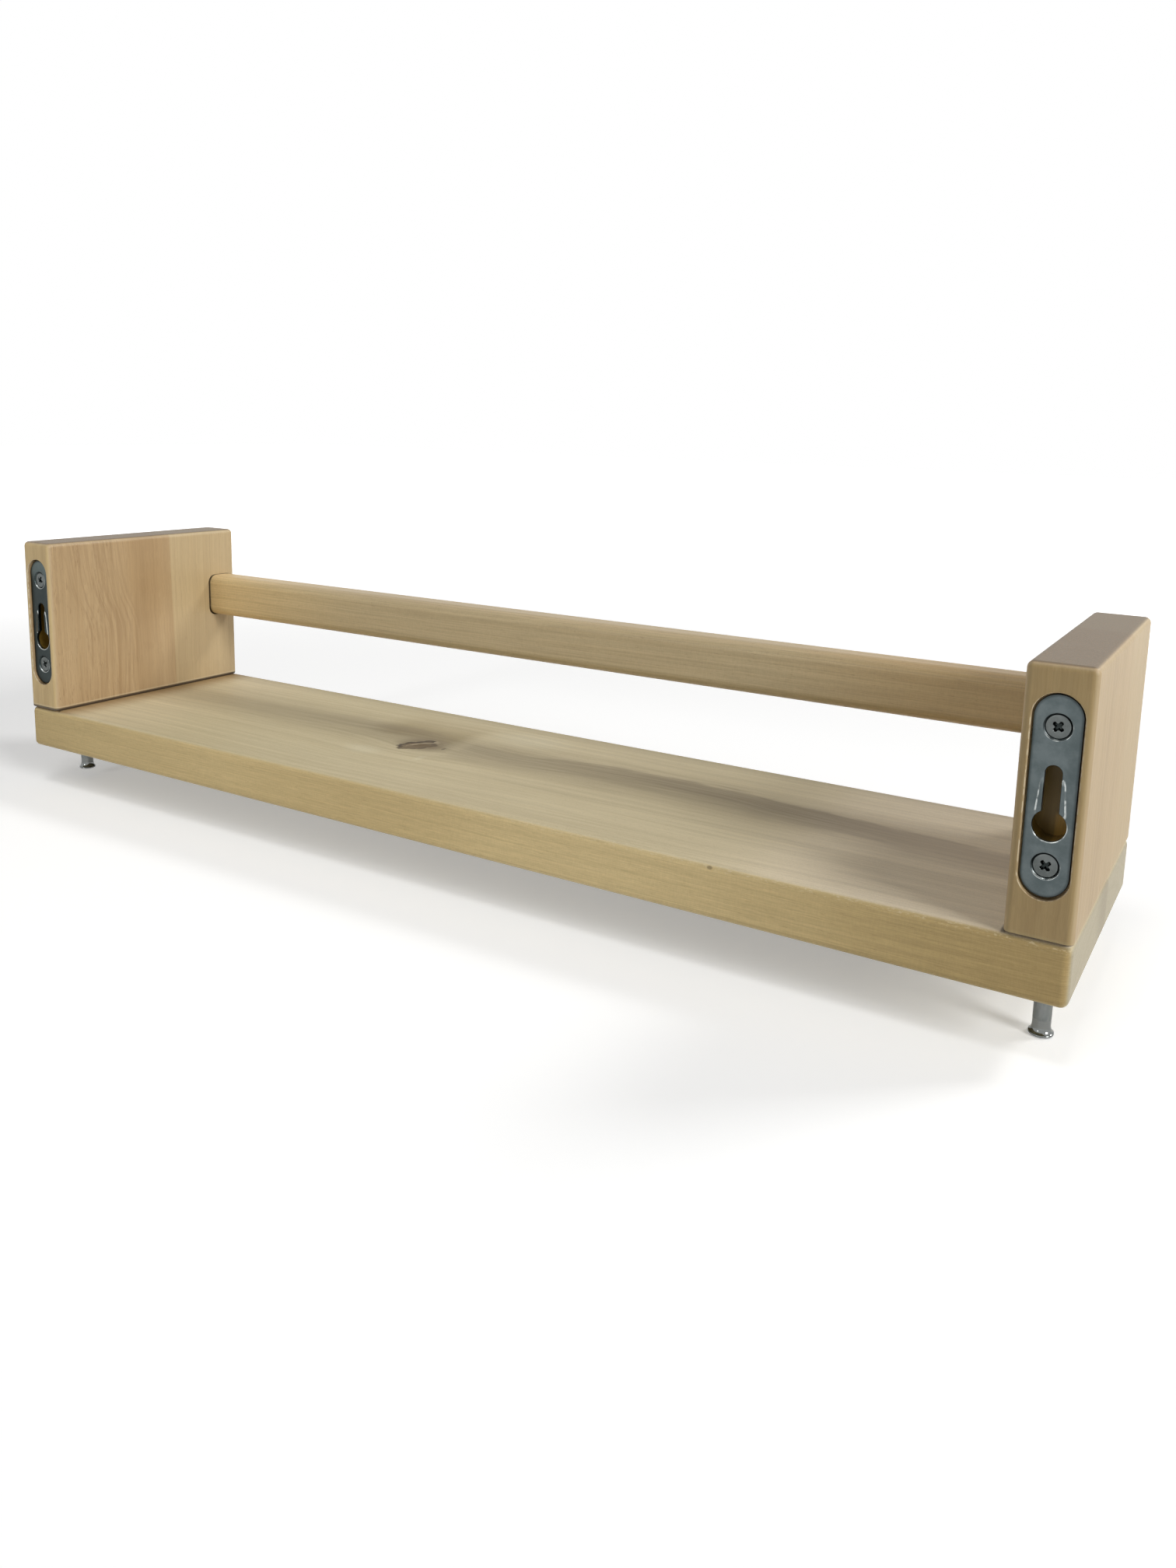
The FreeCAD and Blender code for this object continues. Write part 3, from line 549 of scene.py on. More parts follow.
# figure lines that sway with one route down the panel
def figureOf(y, z, deep, look):
    offFigure = minus(y, routeCurve(z, look["figureRoute"]))
    figure = noiseOf(joined(z, offFigure, deep), look["figureSize"], **lined)
    figure = times(ramped(figure, *look["figureSpan"]),
                   nearLine(offFigure, *look["figureSpread"]))
    return calc("MAXIMUM", figure, nearLine(offFigure, *look["heartLine"]))


def panelFinish(side, sign):
    look = dict(panelLook, rearTint=panelLook["rearLightTints"][side])
    finish, tree = newFinish(side + "PanelWood")
    place = placeInMillimetres(tree)
    x, y, z = parted(place)
    low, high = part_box(side + "_end_panel")
    inner = (low.x if sign > 0 else high.x) * perMetre
    deep = times(minus(x, inner), float(sign))
    front = ramped(calc("ADD", y, ramped(z, *look["seamSlope"])), *look["seam"])
    shift = nodeOn("VectorMath", {0: look["frontShift"], "Scale": front}, operation="SCALE").outputs[0]
    grain = vectorCalc("ADD", joined(z, y, deep), shift)
    grain = vectorCalc("ADD", grain, (sign * look["grainShift"], 0.0, 0.0))
    porePatch = noiseOf(grain, look["porePatchSize"])
    poreShare = ramps((y, look["poreSpread"]), (porePatch, look["porePatchSpan"]),
                      (facing(tree, 1), (*look["poreTurn"], look["poreShares"][side], 0.0)))
    colour, height, fibre = woodColour(grain, look, poreShare, times(front, look["frontCalm"]))
    outer = ramped(times(facing(tree, 0), float(sign)), *look["outerTurn"])
    share = ramped(outer, 0.0, 1.0, 1.0, look["outerShares"][side])
    colour = tinted(times(front, share), colour, look["frontTint"])
    figure = times(figureOf(y, z, deep, look), share, look["figureDepth"])
    colour = blended(figure, colour, look["poreColour"])
    blush = vectorCalc("SUBTRACT", place, (0.0, *look["blush"]))
    blush = lengthOf(vectorCalc("DIVIDE", blush, (perMetre, *look["blushReach"])))
    blush = times(ramped(blush, *look["blushEdge"]), minus(1.0, front), share)
    colour = tinted(blush, colour, look["blushTint"])
    colour = tinted(outer, colour, look["outerTint"])
    colour = edgeOn(colour, place, side + "_end_panel", look)
    colour = faceTones(tree, colour, 2, look)
    speckle = noiseOf(place, look["speckleSize"])
    speckle = ramps((speckle, look["speckleSpan"]), (facing(tree, 2), look["speckleTurn"]))
    colour = blended(speckle, colour, look["poreColour"])
    colour = recessOn(colour, place, side, recessLook)
    # painted highlight on the foot's rounded edge
    foot = times(nearLine(z, *look["footHighlight"]), look["footHighlightShares"][side])
    colour = blended(foot, colour, look["edgeWearAndHighlightColour"])
    # painted shadow line in the joint at the panel's foot
    colour = blended(ramped(z, *look["footShadowLines"][side]), colour, look["footShadowColour"])
    return closeWood(finish, colour, height, fibre, look)


# Guard rail: straight fine grain

railLook = dict(
    woodLook, pith=(-300.0, -40.0), ringGap=2.2,
    bends=(((0.0, 3.0, 3.0), (150.0, 45.0, 45.0)), ((0.0, 0.7, 0.7), (30.0, 13.0, 13.0))),
    dark=(0.425, 0.320, 0.178, 1), middle=(0.487, 0.376, 0.217, 1), pale=(0.540, 0.424, 0.250, 1),
    poreColour=(0.22, 0.15, 0.075, 1), poreFrom=0.64, poreDepth=0.3, lineDepth=0.09, fleckDepth=0.025,
    calm=0.45, roughness=0.47, gloss=0.5, edgeWearAndHighlightColour=(0.55, 0.45, 0.30, 1), edgeDepth=0.30,
    endTint=(0.6, 0.6, 0.6, 1), endCalm=0.4, rearTint=(0.96, 0.98, 0.96, 1),
    # painted light towards the right end and painted shade towards the left end
    farSide=(120.0, 258.0), farLightTint=(1.38, 1.33, 1.20, 1),
    nearSide=(-110.0, -220.0), nearShadeTint=(1.03, 0.93, 0.78, 1),
    # painted shadow at the rail's ends, where they go into the panels
    housing=(258.9, 259.3, 0.0, 0.8), housingColour=(0.05, 0.035, 0.02, 1),
)


def railFinish():
    look = railLook
    finish, tree = newFinish("railWood")
    place = placeInMillimetres(tree)
    x = parted(place)[0]
    colour, height, fibre = woodColour(place, look, 1.0, look["calm"])
    colour = edgeOn(colour, place, "front_rail", look)
    colour = faceTones(tree, colour, 0, look)
    # painted light towards the right end, painted shade towards the left end
    colour = tinted(ramped(x, *look["farSide"]), colour, look["farLightTint"])
    colour = tinted(ramped(x, *look["nearSide"]), colour, look["nearShadeTint"])
    # painted shadow at the rail's ends, in the gap at the housings
    colour = blended(ramped(absolute(x), *look["housing"]), colour, look["housingColour"])
    return closeWood(finish, colour, height, fibre, look)


dowelLook = dict(railLook, pith=(-90.0, 250.0), pale=(0.60, 0.47, 0.29, 1))


def dowelFinish():
    finish, tree = newFinish("dowelWood")
    x, y, z = parted(placeInMillimetres(tree))
    colour, height, fibre = woodColour(joined(z, y, x), dowelLook)
    return closeWood(finish, colour, height, fibre, dowelLook)


def dress(node, finish):
    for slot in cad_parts[node].material_slots:
        slot.material = finish


dress("shelf_board", boardFinish())
dress("front_rail", railFinish())
dowelWood = dowelFinish()
for side, sign in (("left", -1), ("right", 1)):
    dress(side + "_end_panel", panelFinish(side, sign))
    dress(side + "_base_dowel", dowelWood)
print("wood finishes made")


# Metal finishes

zincLook = {
    "dull": (0.085, 0.105, 0.108, 1), "bright": (0.128, 0.152, 0.156, 1), "roughness": (0.28, 0.42),
    "cloudSize": (7.0, 7.0, 7.0), "grainSize": (0.35, 0.35, 0.35), "bump": 0.15, "bumpDepth": 0.05 * mm,
    "wornAndGlint": (0.52, 0.55, 0.54, 1), "wornRoughness": 0.20,
}
screwLook = dict(
    zincLook, dull=(0.085, 0.095, 0.092, 1), bright=(0.145, 0.158, 0.155, 1), roughness=(0.22, 0.36),
    recessShadeTint=(0.22, 0.24, 0.24, 1), recessDepths=(-0.45, -0.16, 1.0, 0.0), recessBorder=(0.1, 0.3))
# painted reflection: the right plate is darker, least at its upper end, and its edges get more rubbed wear
# and painted glints
plateReflectionTones = {"left": white, "right": (0.29, 0.32, 0.31, 1)}
plateTopReflectionTones = {"left": white, "right": (0.78, 0.82, 0.78, 1)}
plateWearAndGlint = {"left": 0.08, "right": 0.75}


# wear, from 0 to 1, is where the plating is rubbed bright and carries a painted glint
def closeMetal(finish, place, look, tone=white, wearAndGlint=0.0):
    cloud = noiseOf(place, look["cloudSize"], **cloudy)
    colour = blended(ramped(cloud, *noiseSpan), look["dull"], look["bright"])
    colour = blended(wearAndGlint, blended(1.0, colour, tone, "MULTIPLY"), look["wornAndGlint"])
    rough = ramped(cloud, *noiseSpan, *look["roughness"])
    rough = calc("MULTIPLY_ADD", minus(look["wornRoughness"], rough), wearAndGlint, rough)
    return closeFinish(finish, look, noiseOf(place, look["grainSize"]), {
        "Base Color": colour, "Metallic": 1.0, "Roughness": rough})


# the cross recess is painted dark inside as shade; head is the middle of the screw's head and axis points out
# of it
def screwFinish(name, head, axis, reach):
    look = screwLook
    finish, tree = newFinish(name + "Zinc")
    place = placeInMillimetres(tree)
    fromHead = vectorCalc("SUBTRACT", place, tuple(head * perMetre))
    height = vectorCalc("DOT_PRODUCT", fromHead, tuple(axis))
    rise = nodeOn("VectorMath", {0: tuple(axis), "Scale": height}, operation="SCALE").outputs[0]
    radius = lengthOf(vectorCalc("SUBTRACT", fromHead, rise))
    inside, outside = (reach * perMetre + border for border in look["recessBorder"])
    recess = ramps((height, look["recessDepths"]), (radius, (inside, outside, 1.0, 0.0)))
    # painted shade inside the cross recess
    return closeMetal(finish, place, look, blended(recess, white, look["recessShadeTint"]))


pegLook = {
    "shaft": (0.165, 0.18, 0.175, 1), "head": (0.21, 0.22, 0.215, 1), "roughness": (0.34, 0.10),
    "polished": (5.9, 6.7, 1.0, 0.0), "turningSize": (60.0, 60.0, 0.12), "cloudSize": (2.0, 2.0, 5.0),
    "bump": 0.12, "bumpDepth": 0.03 * mm,
}


# the flared end is polished, the shaft above it duller
def pegFinish(side):
    look = pegLook
    finish, tree = newFinish(side + "PegChrome")
    place = placeInMillimetres(tree)
    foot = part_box(side + "_underside_peg")[0].z * perMetre
    head = ramped(minus(parted(place)[2], foot), *look["polished"])
    cloud = noiseOf(place, look["cloudSize"], detail=3.0)
    shaft = blended(ramped(cloud, *noiseSpan), look["shaft"], look["head"])
    return closeFinish(finish, look, noiseOf(place, look["turningSize"]), {
        "Base Color": blended(head, shaft, look["head"]), "Metallic": 1.0,
        "Roughness": ramped(head, 0.0, 1.0, *look["roughness"])})


pegChrome = {side: pegFinish(side) for side in ("left", "right")}
print("metal finishes made")


# Tools for meshes: closed rings of points, joined by quads and capped by triangles

def arcPoints(centreX, centreY, radius, start, end, count):
    steps = (start + (end - start) * i / count for i in range(count))
    return [Vector((centreX + radius * math.cos(a), centreY + radius * math.sin(a))) for a in steps]


def addRing(mesh, points):
    return [mesh.verts.new(point) for point in points]


def joinRings(mesh, first, second):
    count = len(first)
    for i in range(count):
        j = (i + 1) % count
        mesh.faces.new((first[i], first[j], second[j], second[i]))


def insideLoop(x, y, loop):
    inside = False
    for a, b in zip(loop, loop[1:] + loop[:1]):
        if (a.y > y) != (b.y > y) and x < a.x + (y - a.y) / (b.y - a.y) * (b.x - a.x):
            inside = not inside
    return inside


# fills the flat region inside the outer ring and outside the cuts; spare points let it follow a relief
def capRings(mesh, outer, cuts, flat, lifted, spare=()):
    corners, edges, verts, loops = [], [], [], []
    for ring in [outer] + cuts:
        start = len(corners)
        loops.append([Vector(flat(vert.co)) for vert in ring])
        edges += [(start + i, start + (i + 1) % len(ring)) for i in range(len(ring))]
        corners += loops[-1]
        verts += ring
    corners += [Vector(point) for point in spare]
    found, _, faces, origin, _, _ = delaunay_2d_cdt(corners, edges, [], 0, flatTolerance)
    made = []
    for point, sources in zip(found, origin):
        known = [verts[i] for i in sources if i < len(verts)]
        made.append(known[0] if known else mesh.verts.new(lifted(*point)))
    for face in faces:
        x, y = sum((found[i] for i in face), Vector((0, 0))) / len(face)
        if insideLoop(x, y, loops[0]) and not any(insideLoop(x, y, loop) for loop in loops[1:]):
            mesh.faces.new([made[i] for i in face])
    bmesh.ops.delete(mesh, geom=[vert for vert in made if not vert.link_faces], context="VERTS")


def finishPiece(mesh, name, node, finish, matrix=None):
    bmesh.ops.recalc_face_normals(mesh, faces=mesh.faces)
    data = bpy.data.meshes.new(name)
    if matrix is not None:
        mesh.transform(matrix)
    mesh.to_mesh(data)
    mesh.free()
    for polygon in data.polygons:
        polygon.use_smooth = True
    data.set_sharp_from_angle(angle=smoothAngle)
    piece = bpy.data.objects.new(name, data)
    scene.collection.objects.link(piece)
    piece.data.materials.append(finish)
    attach(piece, "root")
    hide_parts(node)
    return piece


# Hanger plate: pressed lips beside the slot, rounded rims, countersunk holes

plateLook = {
    "length": 70 * mm, "width": 16 * mm, "thickness": 1.5 * mm, "rim": 0.3 * mm, "cutRim": 0.35 * mm,
    "entryRadius": 5.5 * mm, "entryDrop": 9.9 * mm, "slotHalf": 2.75 * mm, "slotRise": 8.15 * mm,
    "lipHeight": 0.5 * mm, "lipTop": 7.2 * mm, "lipFull": 3.8 * mm, "lipWidths": (0.9 * mm, 2.7 * mm),
    "lipFoot": -7.6 * mm, "lipFootFull": -5.2 * mm,
    "screwRise": 24 * mm, "sinkRadius": 4.65 * mm, "holeRadius": 3.15 * mm, "step": 0.45 * mm,
    "arcCount": 28, "roundCount": 4, "hold": 0.05 * mm,
    "topFrom": (22.0, 30.0), "borderShadeTint": (0.5, 0.5, 0.5, 1), "border": (1.3, 0.2),
    "wornRim": (0.1, 0.25), "wornLean": 0.4, "wornBelow": (-3.2, 0.4, 1.0, 0.0),
    "footShares": (0.05, 0.16), "footEndShares": (0.30, 0.48, 1.0, 0.0), "curlShares": (0.05, 0.2),
    "curlFrom": (4.2, 5.6), "curlWear": 0.5, "rubSize": (2.6, 2.6, 2.6), "rubSpan": (0.40, 0.60),
}


def stadium(halfWidth, halfStraight, count):
    points = arcPoints(0, halfStraight, halfWidth, 0, math.pi, count)
    points += [Vector((-halfWidth, halfStraight))]
    points += arcPoints(0, -halfStraight, halfWidth, math.pi, math.tau, count)
    points += [Vector((halfWidth, -halfStraight))]
    return points


def keyhole(outset, look):
    radius = look["entryRadius"] + outset
    half = look["slotHalf"] + outset
    corner = math.acos(half / radius)
    count = look["arcCount"]
    points = arcPoints(0, look["slotRise"], half, 0, math.pi, count)
    foot = radius * math.sin(corner) - look["entryDrop"]
    side = [look["slotRise"] + (foot - look["slotRise"]) * i / count for i in range(count)]
    points += [Vector((-half, y)) for y in side]
    points += arcPoints(0, -look["entryDrop"], radius, math.pi - corner, math.tau + corner, count * 2)
    points += [Vector((half, y)) for y in reversed(side[1:] + [foot])]
    return points


def smoothStep(value):
    value = min(max(value, 0.0), 1.0)
    return value * value * (3 - 2 * value)


# the pressed lips stand beside the slot, widen downwards and run out at the round entry
def lipHeight(x, y, look):
    down = (look["lipTop"] - y) / (look["lipTop"] - look["lipFoot"])
    width = look["lipWidths"][0] + (look["lipWidths"][1] - look["lipWidths"][0]) * min(max(down, 0), 1)
    across = 1 - smoothStep((abs(x) - look["slotHalf"] - look["cutRim"]) / width)
    top = smoothStep((look["lipTop"] - y) / (look["lipTop"] - look["lipFull"]))
    foot = smoothStep((y - look["lipFoot"]) / (look["lipFootFull"] - look["lipFoot"]))
    return look["lipHeight"] * across * top * foot


# bright where it is rubbed and where painted glints lie: the feet and tops of the lips, and the lower halves
# of the holes' rims
def plateFinish(side, centre, face, look):
    finish, tree = newFinish(side + "ZincPlate")
    place = placeInMillimetres(tree)
    x, y, z = parted(place)
    across = minus(x, centre.x * perMetre)
    above = minus(z, centre.z * perMetre)
    wearAndGlint = 0.0
    for rise, radius in ((-look["entryDrop"], look["entryRadius"] + look["cutRim"] / 2),
                         (look["screwRise"], look["sinkRadius"]), (-look["screwRise"], look["sinkRadius"])):
        aboveHole = minus(z, (centre.z + rise) * perMetre)
        fromHole = lengthOf(joined(across, aboveHole, 0.0))
        rim = nearLine(fromHole, radius * perMetre, *look["wornRim"])
        leaning = calc("MULTIPLY_ADD", across, look["wornLean"], aboveHole)
        wearAndGlint = calc("MAXIMUM", wearAndGlint, times(rim, ramped(leaning, *look["wornBelow"])))
    height = calc("DIVIDE", minus(y, face * perMetre), look["lipHeight"] * perMetre)
    foot = ramps((height, look["footShares"]), (height, look["footEndShares"]))
    curl = times(ramps((height, look["curlShares"]), (above, look["curlFrom"])), look["curlWear"])
    wearAndGlint = calc("MAXIMUM", wearAndGlint, calc("MAXIMUM", foot, curl))
    rub = ramped(noiseOf(place, look["rubSize"]), *look["rubSpan"], plateWearAndGlint[side], 1.0)
    halfWidth = look["width"] / 2 * perMetre
    halfLength = look["length"] / 2 * perMetre
    beyond = calc("MAXIMUM", minus(absolute(above), halfLength - halfWidth), 0.0)
    fromMiddle = lengthOf(joined(across, beyond, 0.0))
    border = ramped(fromMiddle, *(halfWidth - inset for inset in look["border"]))
    # painted reflection in the plate's tone, lighter towards its upper end
    tone = blended(ramped(above, *look["topFrom"]), plateReflectionTones[side], plateTopReflectionTones[side])
    # painted shade along the plate's border
    tone = tinted(border, tone, look["borderShadeTint"])
    return closeMetal(finish, place, zincLook, tone, times(wearAndGlint, rub))


# insets and depths of the rings that round a rim over, from its wall to its face
def roundedSteps(radius, look):
    turns = [math.pi / 2 * i / look["roundCount"] for i in range(look["roundCount"] + 1)]
    steps = [(radius * (1 - math.cos(a)), radius * (1 - math.sin(a))) for a in turns]
    return steps + [(radius + look["hold"], 0.0)]


def makePlate(side):
    look = plateLook
    low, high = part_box(side + "_hanger_plate")
    centre = (low + high) / 2
    face = high.y - look["lipHeight"]
    mesh = bmesh.new()

    def lifted(x, y, depth=0.0):
        share = 1 - depth / look["thickness"]
        return Vector((centre.x + x, face - depth + lipHeight(x, y, look) * share, centre.z + y))

    def flat(point):
        return point.x - centre.x, point.z - centre.z

    def ringAt(points, depth):
        return addRing(mesh, [lifted(p.x, p.y, depth) for p in points])

    cutRim, hold, thickness, count = look["cutRim"], look["hold"], look["thickness"], look["arcCount"]
    halfWidth = look["width"] / 2
    halfStraight = look["length"] / 2 - halfWidth
    steps = [(hold * 2, thickness), (0.0, thickness - hold * 2)] + roundedSteps(look["rim"], look)
    outer = [ringAt(stadium(halfWidth - inset, halfStraight, count), depth) for inset, depth in steps]
    steps = [(0.0, thickness)] + roundedSteps(cutRim, look)
    cut = [ringAt(keyhole(outset, look), depth) for outset, depth in steps]
    holes = []
    sink = look["sinkRadius"]
    steps = [(look["holeRadius"], thickness), (sink - hold, cutRim), (sink + hold, hold),
             (sink + cutRim, 0.0), (sink + cutRim + hold, 0.0)]
    for rise in (look["screwRise"], -look["screwRise"]):
        holes.append([ringAt(arcPoints(0, rise, radius, 0, math.tau, count * 2), depth)
                      for radius, depth in steps])
    for rings in [outer, cut] + holes:
        for first, second in zip(rings, rings[1:]):
            joinRings(mesh, first, second)

    # spare points on a grid over the lips
    step = look["step"]
    reach = look["slotHalf"] + cutRim + look["lipWidths"][1] + step
    cutEdge = [Vector(flat(vert.co)) for vert in cut[-1]]
    spare = []
    for row in range(int((look["lipTop"] - look["lipFoot"]) / step) + 2):
        for column in range(int(reach / step) * 2 + 1):
            x, y = column * step - reach, look["lipTop"] + step - row * step
            if min((point - Vector((x, y))).length for point in cutEdge) > step / 2:
                spare.append((x, y))
    capRings(mesh, outer[-1], [cut[-1]] + [rings[-1] for rings in holes], flat, lifted, spare)
    backCuts = [cut[0]] + [rings[0] for rings in holes]
    capRings(mesh, outer[0], backCuts, flat, lambda x, y: lifted(x, y, thickness))
    finish = plateFinish(side, centre, face, look)
    finishPiece(mesh, side + "HangerPlate", side + "_hanger_plate", finish)


for side in ("left", "right"):
    makePlate(side)
print("hanger plates made")


# Screws and pegs are turned: rings round the local Z axis, head outwards

def turnRings(mesh, profile, columns):
    rings = []
    for radius, height in profile:
        points = arcPoints(0, 0, radius, 0, math.tau, columns)
        rings.append(addRing(mesh, [Vector((p.x, p.y, height)) for p in points]))
    for first, second in zip(rings, rings[1:]):
        joinRings(mesh, first, second)
    return rings


def closeRing(mesh, ring, height):
    tip = mesh.verts.new((0.0, 0.0, height))
    for i, vert in enumerate(ring):
        mesh.faces.new((vert, ring[(i + 1) % len(ring)], tip))


# a thread winds down from its start and thins out into the point
def threadRings(mesh, above, start, look):
    length = start - look["tipLength"] + look["length"]
    turnRows, columns = look["rowsPerTurn"], look["columns"]
    rows = int(length / look["pitch"] * turnRows)
    rings = [above]
    for row in range(1, rows + 1):
        height = start - length * row / rows
        verts = []
        for column in range(columns):
            angle = math.tau * column / columns
            turns = (start - height) / look["pitch"] - column / columns
            phase = abs((turns % 1.0) - 0.5) * 2
            crest = max(0.0, 1 - phase / look["crestShare"])
            fade = min(1.0, row / turnRows, (rows - row) / turnRows + look["pointShare"])
            radius = look["core"] + (look["thread"] - look["core"]) * crest * fade
            verts.append(mesh.verts.new((radius * math.cos(angle), radius * math.sin(angle), height)))
        rings.append(verts)
    for first, second in zip(rings, rings[1:]):
        joinRings(mesh, first, second)
    closeRing(mesh, rings[-1], -look["length"])


hangerScrewLook = {
    "head": 4.0 * mm, "rim": 0.3 * mm, "rimRound": 0.12 * mm, "rimShares": (1.5, 0.7, 0.2), "dome": 0.12 * mm,
    "core": 1.3 * mm, "thread": 2.0 * mm, "pitch": 1.8 * mm, "neck": 3.2 * mm, "length": 20 * mm,
    "tipLength": 2.6 * mm, "crestShare": 0.55, "pointShare": 0.35, "rowsPerTurn": 8, "columns": 48,
    "crossSpan": 2.15 * mm, "crossHalf": 0.64 * mm, "crossDepth": 1.7 * mm,
    "armShares": (0.45, 0.5), "cornerShares": (1.7, 1.15), "armTaper": 0.65,
    # the cross recess's steps down: share of its outline, share of its depth
    "crossSteps": ((1.05, 0.0), (0.98, 0.04), (0.93, 0.12), (0.80, 0.55), (0.62, 0.86), (0.40, 0.96)),
    "domeShares": (0.62, 0.8), "domeCount": 32, "domeClear": 1.1,
}
baseScrewLook = dict(
    hangerScrewLook, head=4.25 * mm, rim=0.4 * mm, core=1.5 * mm, thread=2.25 * mm, pitch=2.2 * mm,
    neck=24 * mm, length=50 * mm, tipLength=3.6 * mm, crossSpan=2.35 * mm, crossHalf=0.58 * mm,
    crossDepth=2.2 * mm)


# outline of the cross recess: four arms with rounded ends and rounded inner corners
def crossOutline(span, half, look):
    endCut, endHalf = (half * share for share in look["armShares"])
    outerCorner, innerCorner = (half * share for share in look["cornerShares"])
    arm = [(span - endCut, -half), (span, -endHalf), (span, endHalf), (span - endCut, half),
           (outerCorner, half), (innerCorner, innerCorner), (half, outerCorner)]
    turns = [Matrix.Rotation(math.pi / 2 * quarter, 2) for quarter in range(4)]
    return [turn @ Vector(point) for turn in turns for point in arm]


def makeScrew(name, node, look, matrix):
    mesh = bmesh.new()
    head, rim, edge, dome, core = look["head"], look["rim"], look["rimRound"], look["dome"], look["core"]

    def domed(x, y):
        return Vector((x, y, -dome * (x * x + y * y) / (head * head)))

    wide, close, fall = (edge * share for share in look["rimShares"])
    coneFoot = -(rim + head - core)
    profile = [(head - wide, domed(head - wide, 0).z), (head - close, -dome - fall), (head, -dome - close),
               (head, -rim), (head - edge, -rim - edge),
               (core + edge, coneFoot + edge), (core, coneFoot - edge), (core, -look["neck"])]
    rings = turnRings(mesh, profile, look["columns"])
    threadRings(mesh, rings[-1], -look["neck"], look)
    walls = []
    for share, depth in look["crossSteps"]:
        half = look["crossHalf"] * (1 - look["armTaper"] * (1 - share))
        drop = Vector((0, 0, look["crossDepth"] * depth))
        outline = crossOutline(look["crossSpan"] * share, half, look)
        walls.append(addRing(mesh, [domed(p.x, p.y) - drop for p in outline]))
    for first, second in zip(walls, walls[1:]):
        joinRings(mesh, first, second)
    closeRing(mesh, walls[-1], -look["crossDepth"])
    circles = [arcPoints(0, 0, head * share, 0, math.tau, look["domeCount"]) for share in look["domeShares"]]
    clear = look["crossSpan"] * look["domeClear"]
    spare = [tuple(p) for circle in circles for p in circle if p.length > clear]
    capRings(mesh, rings[0], [walls[0]], lambda co: co.xy, domed, spare)
    axis = (matrix.to_3x3() @ Vector((0, 0, 1))).normalized()
    finish = screwFinish(name, matrix.translation, axis, look["crossSpan"])
    finishPiece(mesh, name, node, finish, matrix)


# how far each cross is turned, in degrees
crossTurns = {"left_upper": 52, "left_lower": 40, "right_upper": 62, "right_lower": 28, "base": 45}
for side in ("left", "right"):
    for level in ("upper", "lower"):
        node = side + "_" + level + "_hanger_screw"
        low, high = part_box(node)
        centre = (low + high) / 2
        turn = Matrix.Rotation(math.radians(crossTurns[side + "_" + level]), 4, "Z")
        toWall = Matrix.Rotation(-math.pi / 2, 4, "X")
        place = Matrix.Translation((centre.x, high.y, centre.z)) @ toWall @ turn
        makeScrew(side + level.capitalize() + "HangerScrew", node, hangerScrewLook, place)
    for end in ("rear", "front"):
        node = side + "_" + end + "_base_screw"
        low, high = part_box(node)
        centre = (low + high) / 2
        turn = Matrix.Rotation(math.radians(crossTurns["base"]), 4, "Z")
        place = Matrix.Translation((centre.x, centre.y, low.z)) @ Matrix.Rotation(math.pi, 4, "X") @ turn
        makeScrew(side + end.capitalize() + "BaseScrew", node, baseScrewLook, place)
print("screws made")


pegShape = {
    "shaft": 3.3 * mm, "flare": 4.5 * mm, "rimLength": 0.9 * mm, "rimRound": 0.5 * mm, "rimShare": 1.2,
    "sweep": 2.8 * mm, "sweepTurn": math.radians(75), "sweepShare": 0.55, "dome": 0.25 * mm,
    "shoulder": 0.2 * mm, "shoulderGap": 0.02 * mm, "sweepCount": 8, "rimCount": 6, "footCount": 7,
    "core": 1.7 * mm, "thread": 2.5 * mm, "pitch": 2.0 * mm, "length": 16 * mm, "tipLength": 2.4 * mm,
    "crestShare": 0.55, "pointShare": 0.35, "rowsPerTurn": 8, "columns": 56,
}


# radius and height of the peg's outline, from the board down: shaft, hollow sweep, rounded rim, domed foot
def pegProfile(drop, look):
    flare, shaft, rimRound, sweep = look["flare"], look["shaft"], look["rimRound"], look["sweep"]
    gap, shoulder = look["shoulderGap"], look["shoulder"]
    rimTop = drop - look["rimLength"] - rimRound
    profile = [(look["core"], gap), (shaft - shoulder, gap), (shaft, shoulder), (shaft, drop / 3)]
    for i in range(look["sweepCount"] + 1):
        angle = look["sweepTurn"] * i / look["sweepCount"]
        profile.append((shaft + sweep * (1 - math.cos(angle)) * look["sweepShare"],
                        rimTop - sweep * (math.sin(look["sweepTurn"]) - math.sin(angle))))
    for i in range(look["rimCount"] + 1):
        angle = math.pi / 2 * i / look["rimCount"]
        profile.append((flare - rimRound * (1 - math.sin(angle)),
                        rimTop + rimRound * (look["rimShare"] - math.cos(angle))))
    for i in range(1, look["footCount"] + 1):
        angle = math.pi / 2 * i / look["footCount"]
        profile.append((flare - rimRound * (1 - math.cos(angle)),
                        drop - look["dome"] - rimRound * (1 - math.sin(angle))))
    return profile + [(flare / 2, drop - look["dome"] / 3)]


def makePeg(side):
    look = pegShape
    node = side + "_underside_peg"
    low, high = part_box(node)
    centre = (low + high) / 2
    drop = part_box("shelf_board")[0].z - low.z
    mesh = bmesh.new()
    rings = turnRings(mesh, pegProfile(drop, look), look["columns"])
    closeRing(mesh, rings[-1], drop)
    threadRings(mesh, rings[0], 0.0, look)
    place = Matrix.Translation((centre.x, centre.y, low.z + drop)) @ Matrix.Rotation(math.pi, 4, "X")
    finishPiece(mesh, side + "UndersidePeg", node, pegChrome[side], place)


for side in ("left", "right"):
    makePeg(side)
print("pegs made")


# Stage: pale floor under the pegs, white surroundings, soft lamps

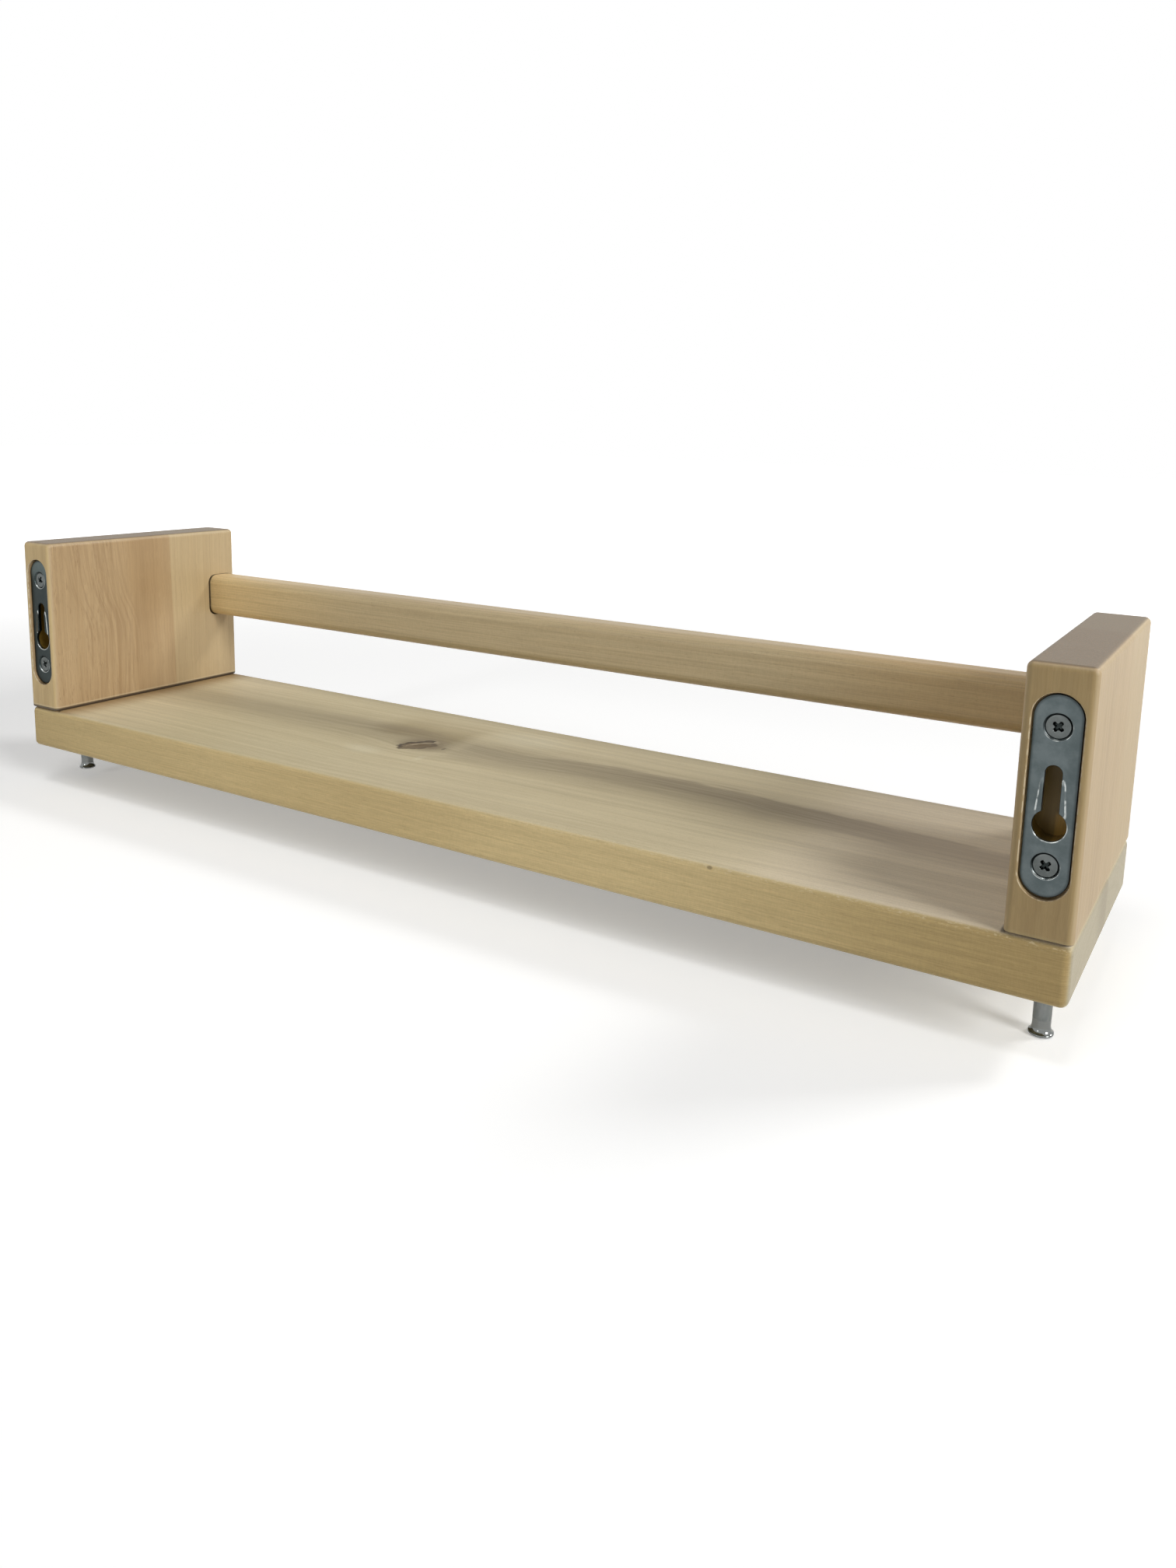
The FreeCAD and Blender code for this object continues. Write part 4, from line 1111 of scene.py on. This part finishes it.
stageLook = {
    "floorHalf": 6.0, "floorColour": (0.86, 0.86, 0.855, 1), "lift": (0.45, 1.8, 0.30, 1.0), "ambient": 0.20,
    "paperSize": (0.004, 0.004, 0.004), "bump": 0.1, "bumpDepth": 0.1 * mm,
}
lamps = (
    {"name": "windowLamp", "towards": (166, 25), "distance": 5.0, "aim": (0.0, 0.0, 0.0), "size": (1.6, 2.0),
     "power": 152, "spread": 180},
    {"name": "frontLamp", "towards": (225, 40), "distance": 5.0, "aim": (0.0, 0.0, 0.0), "size": (1.0, 1.0),
     "power": 74, "spread": 180},
    {"name": "ceilingLamp", "towards": (100, 75), "distance": 3.0, "aim": (0.0, 0.0, 0.0), "size": (0.6, 0.6),
     "power": 12.5, "spread": 180},
    {"name": "roomLamp", "towards": (80, 18), "distance": 1.6, "aim": (0.11, 0.0, 0.03), "size": (0.2, 0.2),
     "power": 0.19, "spread": 36},
)


def cameraSees(tree):
    path = addNode(tree, "LightPath").outputs
    seen = calc("MAXIMUM", path["Is Camera Ray"], path["Is Glossy Ray"])
    return calc("MAXIMUM", seen, path["Is Transmission Ray"])


# matt paper that shades off into pure white further out
def makeFloor():
    look = stageLook
    half = look["floorHalf"]
    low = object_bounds()[0].z
    data = bpy.data.meshes.new("floor")
    corners = [(-half, -half, low), (half, -half, low), (half, half, low), (-half, half, low)]
    data.from_pydata(corners, [], [(0, 1, 2, 3)])
    floor = bpy.data.objects.new("floor", data)
    scene.collection.objects.link(floor)
    finish, tree = newFinish("floorPaper")
    place = addNode(tree, "TexCoord").outputs["Object"]
    lift = ramped(lengthOf(place), *look["lift"])
    paper = noiseOf(place, look["paperSize"], detail=3.0)
    bump = nodeOn("Bump", {"Strength": look["bump"], "Distance": look["bumpDepth"], "Height": paper})
    matt = nodeOn("BsdfDiffuse", {"Color": look["floorColour"], "Normal": bump.outputs[0]})
    glow = nodeOn("Emission", {"Strength": times(lift, cameraSees(tree))})
    both = nodeOn("AddShader", {0: matt.outputs[0], 1: glow.outputs[0]})
    nodeOn("OutputMaterial", {"Surface": both.outputs[0]})
    data.materials.append(finish)


def makeWorld():
    world = bpy.data.worlds.new("studio")
    scene.world = world
    world.use_nodes = True
    tree = world.node_tree
    tree.nodes.clear()
    strength = ramped(cameraSees(tree), 0.0, 1.0, stageLook["ambient"], 1.0)
    sky = nodeOn("Background", {"Color": white, "Strength": strength})
    nodeOn("OutputWorld", {"Surface": sky.outputs[0]})


# a lamp stands at its distance in its direction: degrees round from +X, degrees up
def makeLamps():
    for look in lamps:
        turn, rise = (math.radians(angle) for angle in look["towards"])
        away = Vector((math.cos(turn) * math.cos(rise), math.sin(turn) * math.cos(rise), math.sin(rise)))
        light = bpy.data.lights.new(look["name"], "AREA")
        light.shape = "RECTANGLE"
        light.size, light.size_y = look["size"]
        light.energy = look["power"]
        light.spread = math.radians(look["spread"])
        lamp = bpy.data.objects.new(look["name"], light)
        lamp.location = Vector(look["aim"]) + away * look["distance"]
        lamp.rotation_mode = "QUATERNION"
        lamp.rotation_quaternion = away.to_track_quat("Z", "Y")
        scene.collection.objects.link(lamp)


makeFloor()
makeWorld()
makeLamps()
scene.view_settings.view_transform = "Standard"
print("stage and lamps made")


# Camera at the photograph's place; rows of the picture count from its top

cameraLook = {
    "eye": (-0.33527, 0.40217, 0.18014), "azimuth": 211.29, "elevation": 9.995, "roll": 1.377,
    "lens": 27.263, "pictureHeight": 2016, "middleRow": 811.2, "clipStart": 0.01,
}


def makeCamera():
    look = cameraLook
    azimuth, elevation = math.radians(look["azimuth"]), math.radians(look["elevation"])
    back = Vector((math.sin(azimuth) * math.cos(elevation), -math.cos(azimuth) * math.cos(elevation),
                   math.sin(elevation)))
    data = bpy.data.cameras.new("camera")
    data.lens = look["lens"]
    data.shift_y = (look["middleRow"] - look["pictureHeight"] / 2) / look["pictureHeight"]
    data.clip_start = look["clipStart"]
    camera = bpy.data.objects.new("camera", data)
    camera.location = look["eye"]
    camera.rotation_mode = "QUATERNION"
    roll = Euler((0, 0, math.radians(look["roll"]))).to_quaternion()
    camera.rotation_quaternion = (-back).to_track_quat("-Z", "Y") @ roll
    scene.collection.objects.link(camera)
    scene.camera = camera


makeCamera()
print("camera made")
